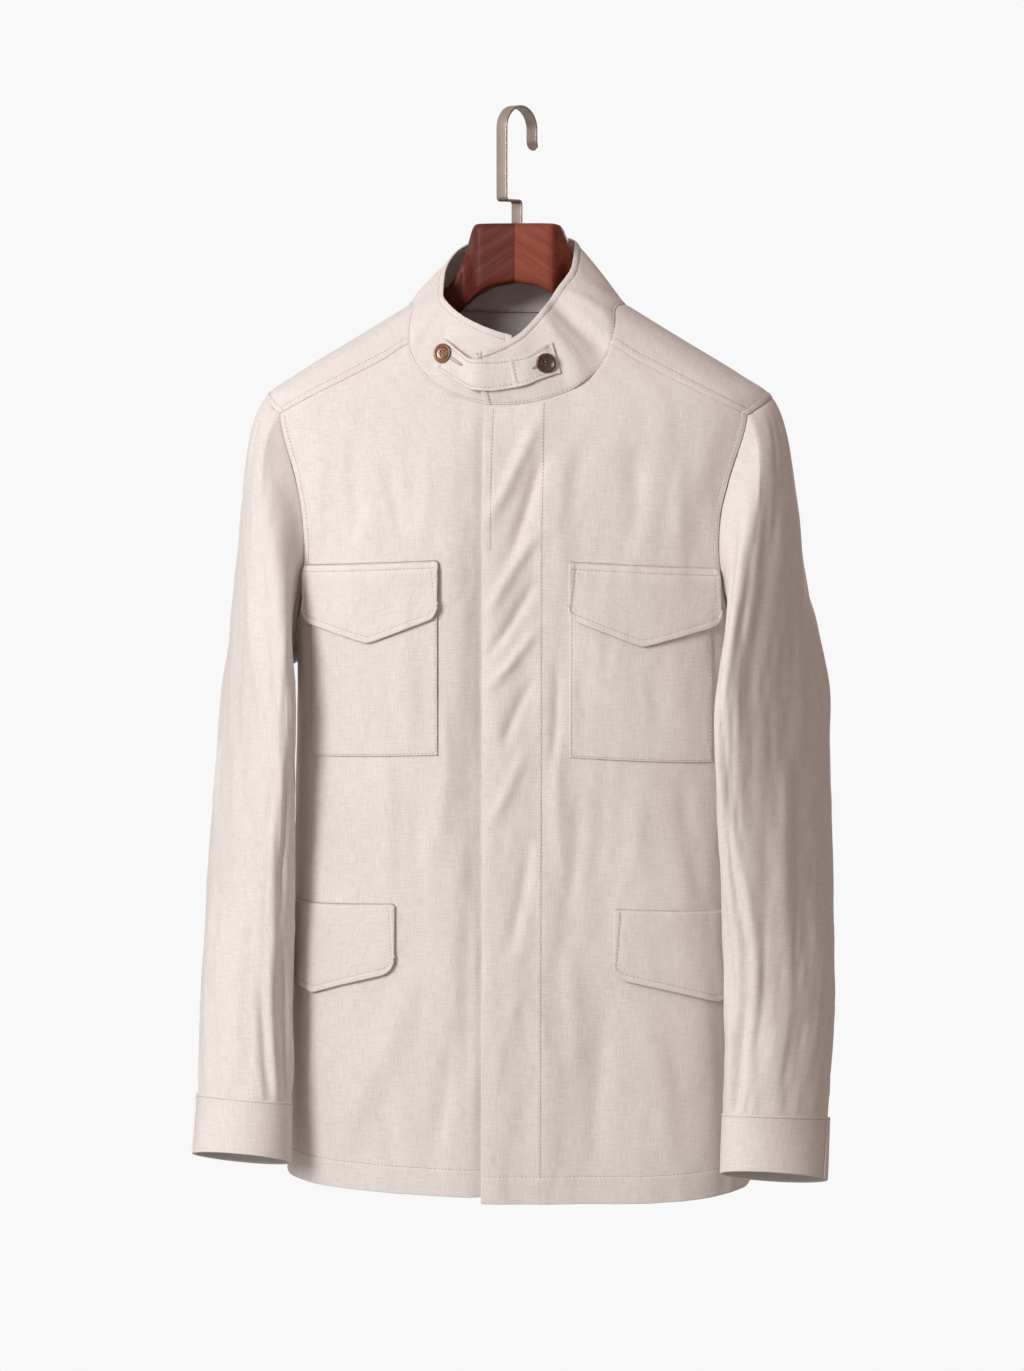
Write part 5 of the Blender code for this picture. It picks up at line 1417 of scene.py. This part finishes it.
def horn_material(name, dark, light, shift):
    """Polished horn: streaks of a stretched noise between a dark and a light tone, under a coat."""
    made, tree, shader = finish_material(name, light, 0.30, Coat_Weight=0.35, Coat_Roughness=0.10)
    place = node(tree, "TexCoord")
    streak = stretched_noise(tree, place.outputs["Object"], (130, 130, 420), 4.0, 0.6, (0.3, shift, 0.5))
    fleck = stretched_noise(tree, place.outputs["Object"], (900, 900, 900), 2.0)
    tone = math_node(tree, "MULTIPLY_ADD", fleck, 0.25, math_node(tree, "SUBTRACT", streak, 0.12))
    middle = tuple((a + b) / 2 for a, b in zip(dark, light))
    colour = ramp(tree, tone, ((0.28, dark), (0.5, middle), (0.72, light)))
    tree.links.new(colour, shader.inputs["Base Color"])
    rough = math_node(tree, "MULTIPLY_ADD", fleck, 0.14, 0.20)
    tree.links.new(rough, shader.inputs["Roughness"])
    bumped(tree, shader, fleck, 0.12, 0.0001)
    return made


def mahogany_material():
    """Mahogany: long grain that slopes down from the joint on both arms, by mirroring x, with
    pores as thin dark strokes, under satin lacquer. The wearer's right arm is of darker wood."""
    made, tree, shader = finish_material(
        "mahogany", (0.2, 0.045, 0.026), 0.48,
        Specular_IOR_Level=0.16, Coat_Weight=0.03, Coat_Roughness=0.3)
    place = node(tree, "TexCoord")
    axes = node(tree, "SeparateXYZ")
    tree.links.new(place.outputs["Object"], axes.inputs[0])
    folded = node(tree, "CombineXYZ")
    tree.links.new(math_node(tree, "ABSOLUTE", axes.outputs["X"]), folded.inputs["X"])
    tree.links.new(axes.outputs["Y"], folded.inputs["Y"])
    tree.links.new(axes.outputs["Z"], folded.inputs["Z"])
    slope = math.radians(-33)
    turned = node(tree, "Mapping", vector_type="POINT", sockets={"Rotation": (0, slope, 0)})
    tree.links.new(folded.outputs[0], turned.inputs["Vector"])
    grain = stretched_noise(tree, turned.outputs["Vector"], (9, 130, 260), 5.0, 0.62)
    broad = stretched_noise(tree, turned.outputs["Vector"], (5, 30, 60), 3.0, 0.5)
    pores = stretched_noise(tree, turned.outputs["Vector"], (110, 1500, 2400), 2.0, 0.6)
    tone = math_node(tree, "MULTIPLY_ADD", grain, 0.7, math_node(tree, "MULTIPLY", broad, 0.45))
    darker = math_node(tree, "LESS_THAN", axes.outputs["X"], 0.0)
    tone = math_node(tree, "SUBTRACT", tone, math_node(tree, "MULTIPLY_ADD", darker, 0.32, -0.10))
    colour = ramp(tree, tone, (
        (0.22, (0.070, 0.012, 0.009)), (0.5, (0.150, 0.029, 0.019)), (0.78, (0.300, 0.072, 0.040)),
    ))
    dark = node(tree, "Mix", data_type="RGBA", blend_type="MULTIPLY")
    pore = math_node(tree, "LESS_THAN", pores, 0.36)
    tree.links.new(math_node(tree, "MULTIPLY", pore, 0.55), dark.inputs["Factor"])
    tree.links.new(colour, dark.inputs["A"])
    dark.inputs["B"].default_value = (0.25, 0.2, 0.2, 1)
    tree.links.new(dark.outputs["Result"], shader.inputs["Base Color"])
    rough = math_node(tree, "MULTIPLY_ADD", tone, -0.12, 0.54)
    tree.links.new(rough, shader.inputs["Roughness"])
    bumped(tree, shader, math_node(tree, "MULTIPLY_ADD", pore, -0.6, tone), 0.22, 0.0002)
    return made


def nickel_material():
    """Satin nickel, brushed along the strap: scratches far longer than wide, in the strap's UV."""
    made, tree, shader = finish_material("satin_nickel", (0.50, 0.43, 0.385), 0.34, Metallic=1.0)
    place = node(tree, "TexCoord")
    scratch = stretched_noise(tree, place.outputs["UV"], (5200, 60, 1), 3.0, 0.65)
    smear = stretched_noise(tree, place.outputs["Object"], (60, 60, 60), 3.0)
    colour = ramp(tree, scratch, ((0.2, (0.40, 0.335, 0.295)), (0.8, (0.60, 0.52, 0.47))))
    tree.links.new(colour, shader.inputs["Base Color"])
    rough = math_node(tree, "MULTIPLY_ADD", smear, 0.20, 0.24)
    rough = math_node(tree, "MULTIPLY_ADD", scratch, 0.12, rough)
    tree.links.new(rough, shader.inputs["Roughness"])
    bumped(tree, shader, scratch, 0.25, 0.00006)
    return made


LINEN, THREAD_WITH_PAINTED_SHADE = linen_material(plain_weave()), thread_with_painted_shade_material()
HORN = {
    "button_right": horn_material("amber_horn", (0.060, 0.016, 0.005), (0.34, 0.115, 0.028), 0.2),
    "button_left": horn_material("dark_horn", (0.018, 0.008, 0.005), (0.105, 0.050, 0.026), 0.9),
}
MAHOGANY, NICKEL = mahogany_material(), nickel_material()


# ------------------------------------------------------------------ the jacket put together
def above_underarm(points):
    """Where a line of stitching lies beside the armhole, and not by the side seam."""
    return points[:, 2] > UNDERARM + 0.002


def beside_armhole(grid):
    """1 on the points beside the armhole, where the edge is stitched, and 0 on those below."""
    return smoothstep(UNDERARM - 0.004, UNDERARM + 0.012, grid[..., 2])


def each(edges, *values):
    """The same values for several edges."""
    return [(edge, *values) for edge in edges]


def rims(grid, *edges):
    """Which points of a grid lie on the named free edges."""
    held, whole = np.zeros(grid.shape[:2], bool), slice(None)
    where = {"bottom": (0, whole), "top": (-1, whole), "left": (whole, 0), "right": (whole, -1)}
    for edge in edges:
        held[where[edge]] = True
    return held


OUTER, STITCHED, CLOTH = {}, {}, {}       # by a piece's name: its outer grid, stitching and object


def make_piece(name, grid, edges, lines, wall=WALL, seed=1, free=False):
    """A cloth piece: its sewn relief, its wall, and the stitching that lies on it."""
    grid = sewn(grid, edges, seed)
    made = rolled("linen_" + name, grid, wall, LINEN, free)
    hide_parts(name)
    OUTER[name] = grid
    sewing = [edge_line(grid, *line) if isinstance(line[0], str) else line for line in lines]
    if sewing:
        STITCHED[name] = stitching("stitches_" + name, sewing, THREAD_WITH_PAINTED_SHADE)
    CLOTH[name] = made


def placket_relief(grid):
    """Height by the placket's stitching: a welt up to it, grooves on it and on the facing's own
    line, and pucker that dies out as a bell."""
    away, run = grid[..., 0] - PLACKET_FOLD, -grid[..., 2]
    pucker = value_noise(run / 0.006 + 9, away / 0.02 + 20, 21) * np.exp(-((away / 0.008) ** 2))
    inner = smoothstep(-0.395, -0.385, grid[..., 2])
    facing = from_edges(grid)["left"][0]
    welt = 0.0004 * (1 - smoothstep(-0.0004, 0.0014, away)) - 0.00028 * np.exp(-((away / 0.0008) ** 2))
    second = -0.00020 * np.exp(-(((facing - FACING_LINE) / 0.0008) ** 2)) * inner
    return welt + second + 0.00026 * pucker


def above_facing_end(points):
    """Where the facing's own line of stitching shows: high on the placket."""
    return points[:, 2] > -0.388


SIDES = {"left": 1, "right": -1}
for word, side in SIDES.items():
    grid = front(side)
    arm, lap = ("right", "left") if side > 0 else ("left", "right")
    high = beside_armhole(grid)
    edges = [("bottom", HEM_LINE, 1.0), (arm, SEAM_LINE, high), (arm, None, 1 - high), ("top", None, 1.0)]
    lines = [("bottom", HEM_LINE, (0.001, 0.001)), (arm, SEAM_LINE, (0, 0.002), above_underarm)]
    if side > 0:
        grid = grid + grid_normals(grid) * placket_relief(grid)[..., None]
        placket = level_line(grid, grid_normals(grid), grid[..., 0], PLACKET_FOLD)
        lines.append(cut_line(*placket, (0.002, 0.002)))
        lines.append(("left", FACING_LINE, (0.0, 0.002), above_facing_end))
    make_piece(f"front_{word}", grid, edges, lines, seed=2 + side, free=rims(grid, "bottom", lap))

rear = back()
high = beside_armhole(rear)
make_piece(
    "back", rear,
    [("bottom", HEM_LINE, 1.0), *each(("left", "right"), SEAM_LINE, high),
     *each(("left", "right"), None, 1 - high), ("top", None, 1.0)],
    [("bottom", HEM_LINE, (0.001, 0.001)),
     *each(("left", "right"), SEAM_LINE, (0, 0.002), above_underarm)],
    seed=30, free=rims(rear, "bottom"))
make_piece(
    "yoke", yoke(),
    [*each(("bottom", "top"), YOKE_LINE, 1.0), ("right", SEAM_LINE, 1.0), ("left", None, 1.0)],
    [*each(("bottom", "top"), YOKE_LINE, (0.002, 0.006)), ("right", SEAM_LINE, (0.002, 0.002))],
    seed=40)
stand = collar()
make_piece(
    "collar", stand,
    [*each(("top", "left"), SEAM_LINE, 1.7), ("right", SEAM_LINE, 1.0), ("bottom", COLLAR_FOOT_LINE, 1.0)],
    [("top", SEAM_LINE, (0.006, 0.006)), *each(("left", "right"), SEAM_LINE, (0.003, 0.006)),
     ("bottom", COLLAR_FOOT_LINE, (0.003, 0.003))],
    wall=BAND_WALL, seed=50, free=rims(stand, "top", "left", "right"))

SLEEVE_PARTS = {"top": (HIND_TURN, 360 + FOREARM_TURN), "under": (FOREARM_TURN, HIND_TURN)}
for word, side in SIDES.items():
    for part, (first, last) in SLEEVE_PARTS.items():
        make_piece(
            f"sleeve_{part}_{word}", sleeve_panel(word, first, last),
            [("bottom", None, 1.0), ("top", None, 1.5), *each(("left", "right"), None, 1.2)], [],
            seed=60 + 7 * side)
    make_piece(
        f"cuff_{word}", cuff(word),
        [("top", CUFF_LINE, 0.7), ("bottom", EDGE_LINE, 0.6), *each(("left", "right"), None, 0.5)],
        [("top", CUFF_LINE, (0.001, 0.001))], wall=BAND_WALL, seed=80 + side, free=True)
    sewn_edges = ("left", "right", "bottom")
    make_piece(
        f"chest_pocket_{word}", chest_pocket(side), each(sewn_edges, EDGE_LINE, 0.7),
        each(sewn_edges, EDGE_LINE, (0.001, 0.001)), seed=90 + side, free=True)
    flap = chest_flap(side)
    make_piece(
        f"chest_flap_{word}", flap,
        [*each(sewn_edges, SEAM_LINE, 1.0), ("top", FLAP_SEAM_LINE, 1.0)],
        [*each(("left", "right"), SEAM_LINE, (0.006, 0.005)), ("bottom", SEAM_LINE, (0.006, 0.006)),
         ("top", FLAP_SEAM_LINE, (0.001, 0.001))],
        wall=BAND_WALL, seed=100 + side, free=rims(flap, *sewn_edges))
    flap = lower_flap(side)
    make_piece(
        f"lower_flap_{word}", flap, [*each(sewn_edges, SEAM_LINE, 1.0), ("top", None, 1.0)],
        [*each(("left", "right"), SEAM_LINE, (0.006, 0.001)), ("bottom", SEAM_LINE, (0.006, 0.006))],
        wall=BAND_WALL, seed=110 + side, free=rims(flap, *sewn_edges))

cloth_under_tab = cover([OUTER["collar"], OUTER["front_left"], OUTER["front_right"]])
ALL_EDGES = ("left", "right", "bottom", "top")
for name, start, end, slant, extra in (
    ("chin_tab", -0.0580, TAB_JOIN_X + 0.010, (-0.0036, 0.004), 0.0),
    ("chin_tab_end", TAB_JOIN_X, 0.0398, (0.006, 0.0085), 0.0012),
):
    grid = tab_strip(start, end, slant, cloth_under_tab)
    x = grid[..., 0]
    off = 0.0006 + TAB_WALL + extra * (0.6 + 0.4 * smoothstep(TAB_JOIN_X, TAB_JOIN_X + 0.02, x))
    off = off - 0.0028 * smoothstep(0.016, 0.040, x)
    ripple = value_noise(x / 0.016 + 30, grid[..., 2] / 0.012 + 60, 17)
    grid = grid + grid_normals(grid) * (off + 0.0003 * ripple)[..., None]
    make_piece(
        name, grid, each(ALL_EDGES, TAB_LINE, 0.8), each(ALL_EDGES, TAB_LINE, (0.003, 0.003)),
        wall=TAB_WALL, seed=120, free=True)

for name, place in TAB_BUTTONS.items():
    tab_part = OUTER["chin_tab" if place[0] < TAB_JOIN_X else "chin_tab_end"]
    button(name, place, tab_part, HORN[name], THREAD_WITH_PAINTED_SHADE)
for name, start, end, tab_part in (
    ("buttonhole_right", (-0.0560, -0.2158), (-0.0380, -0.2262), "chin_tab"),
    ("buttonhole_left", (0.0245, -0.2290), (0.0380, -0.2215), "chin_tab_end"),
):
    buttonhole(name, start, end, OUTER[tab_part], THREAD_WITH_PAINTED_SHADE)

for word, side in SIDES.items():
    hanger_arm(f"hanger_arm_{word}", side, MAHOGANY)
hook(NICKEL)

# ------------------------------------------------------------------ each piece's kind and side
# Each cloth piece's name is split into its kind and its side, which are not used further.
for name, made in CLOTH.items():
    kind, _, word = name.rpartition("_") if name.endswith(("_left", "_right")) else (name, "", "")

# ------------------------------------------------------------------ floor, camera and light
TARGET = Vector((-0.0045, 0.0, -0.5143))
AZIMUTH, ELEVATION, DISTANCE = 8.0, 6.0, 2.92


def turned_to(made, place, target):
    """Puts a camera or a lamp at a place, looking at the target."""
    made.location = place
    made.rotation_mode = "QUATERNION"
    made.rotation_quaternion = (Vector(place) - Vector(target)).to_track_quat("Z", "Y")


azimuth, elevation = math.radians(AZIMUTH), math.radians(ELEVATION)
level = math.cos(elevation)
toward = Vector((math.sin(azimuth) * level, -math.cos(azimuth) * level, math.sin(elevation)))
lens = bpy.data.cameras.new("camera")
lens.lens, lens.sensor_fit, lens.sensor_height = 85.0, "VERTICAL", 36.0
lens.clip_start, lens.clip_end = 0.05, 60.0
camera = bpy.data.objects.new("camera", lens)
bpy.context.scene.collection.objects.link(camera)
turned_to(camera, TARGET + DISTANCE * toward, TARGET)
bpy.context.scene.camera = camera


def area_light(name, place, size, energy, colour):
    """A round lamp that looks at the middle of the jacket."""
    lamp = bpy.data.lights.new(name, "AREA")
    lamp.shape, lamp.size, lamp.energy, lamp.color = "DISK", size, energy, colour
    made = bpy.data.objects.new(name, lamp)
    bpy.context.scene.collection.objects.link(made)
    turned_to(made, place, (0.0, 0.0, -0.50))


area_light("key", (-1.62, -2.62, 0.62), 1.3, 79.0, (0.980, 0.992, 1.0))
area_light("rear", (0.40, 3.00, -0.45), 1.6, 42.0, (1.0, 0.990, 0.980))

# The studio: pale where it is seen; its light is dimmer and warmer from the wearer's left and from
# below.
PALE = (0.938, 0.938, 0.942, 1.0)
world = bpy.data.worlds.new("studio")
bpy.context.scene.world = world
world.use_nodes = True
tree = world.node_tree
tree.nodes.clear()
result = node(tree, "OutputWorld")
place = node(tree, "TexCoord")
axes = node(tree, "SeparateXYZ")
tree.links.new(place.outputs["Generated"], axes.inputs[0])
side = math_node(tree, "MULTIPLY_ADD", axes.outputs["X"], 0.5, 0.5)
side = math_node(tree, "MULTIPLY_ADD", axes.outputs["Z"], -0.28, side)
shade = ramp(tree, side, (
    (0.0, (0.93, 0.89, 0.86)), (0.5, (0.53, 0.450, 0.400)), (1.0, (0.42, 0.290, 0.225)),
))
ambient = node(tree, "Background", sockets={"Strength": 0.74})
tree.links.new(shade, ambient.inputs["Color"])
pale = node(tree, "Background", sockets={"Color": PALE, "Strength": 1.0})
blend = node(tree, "MixShader")
path = node(tree, "LightPath")
tree.links.new(path.outputs["Is Camera Ray"], blend.inputs["Fac"])
tree.links.new(ambient.outputs[0], blend.inputs[1])
tree.links.new(pale.outputs[0], blend.inputs[2])
tree.links.new(blend.outputs[0], result.inputs["Surface"])

FLOOR_REACH, FLOOR_HEIGHT = 12.0, -1.60
floor_points = [
    (x * FLOOR_REACH, y * FLOOR_REACH, FLOOR_HEIGHT) for x, y in ((-1, -1), (1, -1), (1, 1), (-1, 1))
]
floor_mesh = bpy.data.meshes.new("floor")
floor_mesh.from_pydata(floor_points, [], [(0, 1, 2, 3)])
floor_finish, floor_tree, floor_shader = finish_material("floor", (0.42, 0.42, 0.42), 0.9)
glow = node(floor_tree, "Emission", sockets={"Color": PALE, "Strength": 1.0})
seen, mixed = (node(floor_tree, kind) for kind in ("LightPath", "MixShader"))
floor_tree.links.new(seen.outputs["Is Camera Ray"], mixed.inputs["Fac"])
floor_tree.links.new(floor_shader.outputs[0], mixed.inputs[1])
floor_tree.links.new(glow.outputs[0], mixed.inputs[2])
floor_tree.links.new(mixed.outputs[0], floor_tree.nodes["Material Output"].inputs["Surface"])
floor_mesh.materials.append(floor_finish)
floor = bpy.data.objects.new("floor", floor_mesh)
bpy.context.scene.collection.objects.link(floor)

view = bpy.context.scene.view_settings
view.view_transform, view.look, view.exposure, view.gamma = "Standard", "None", 0.0, 1.0
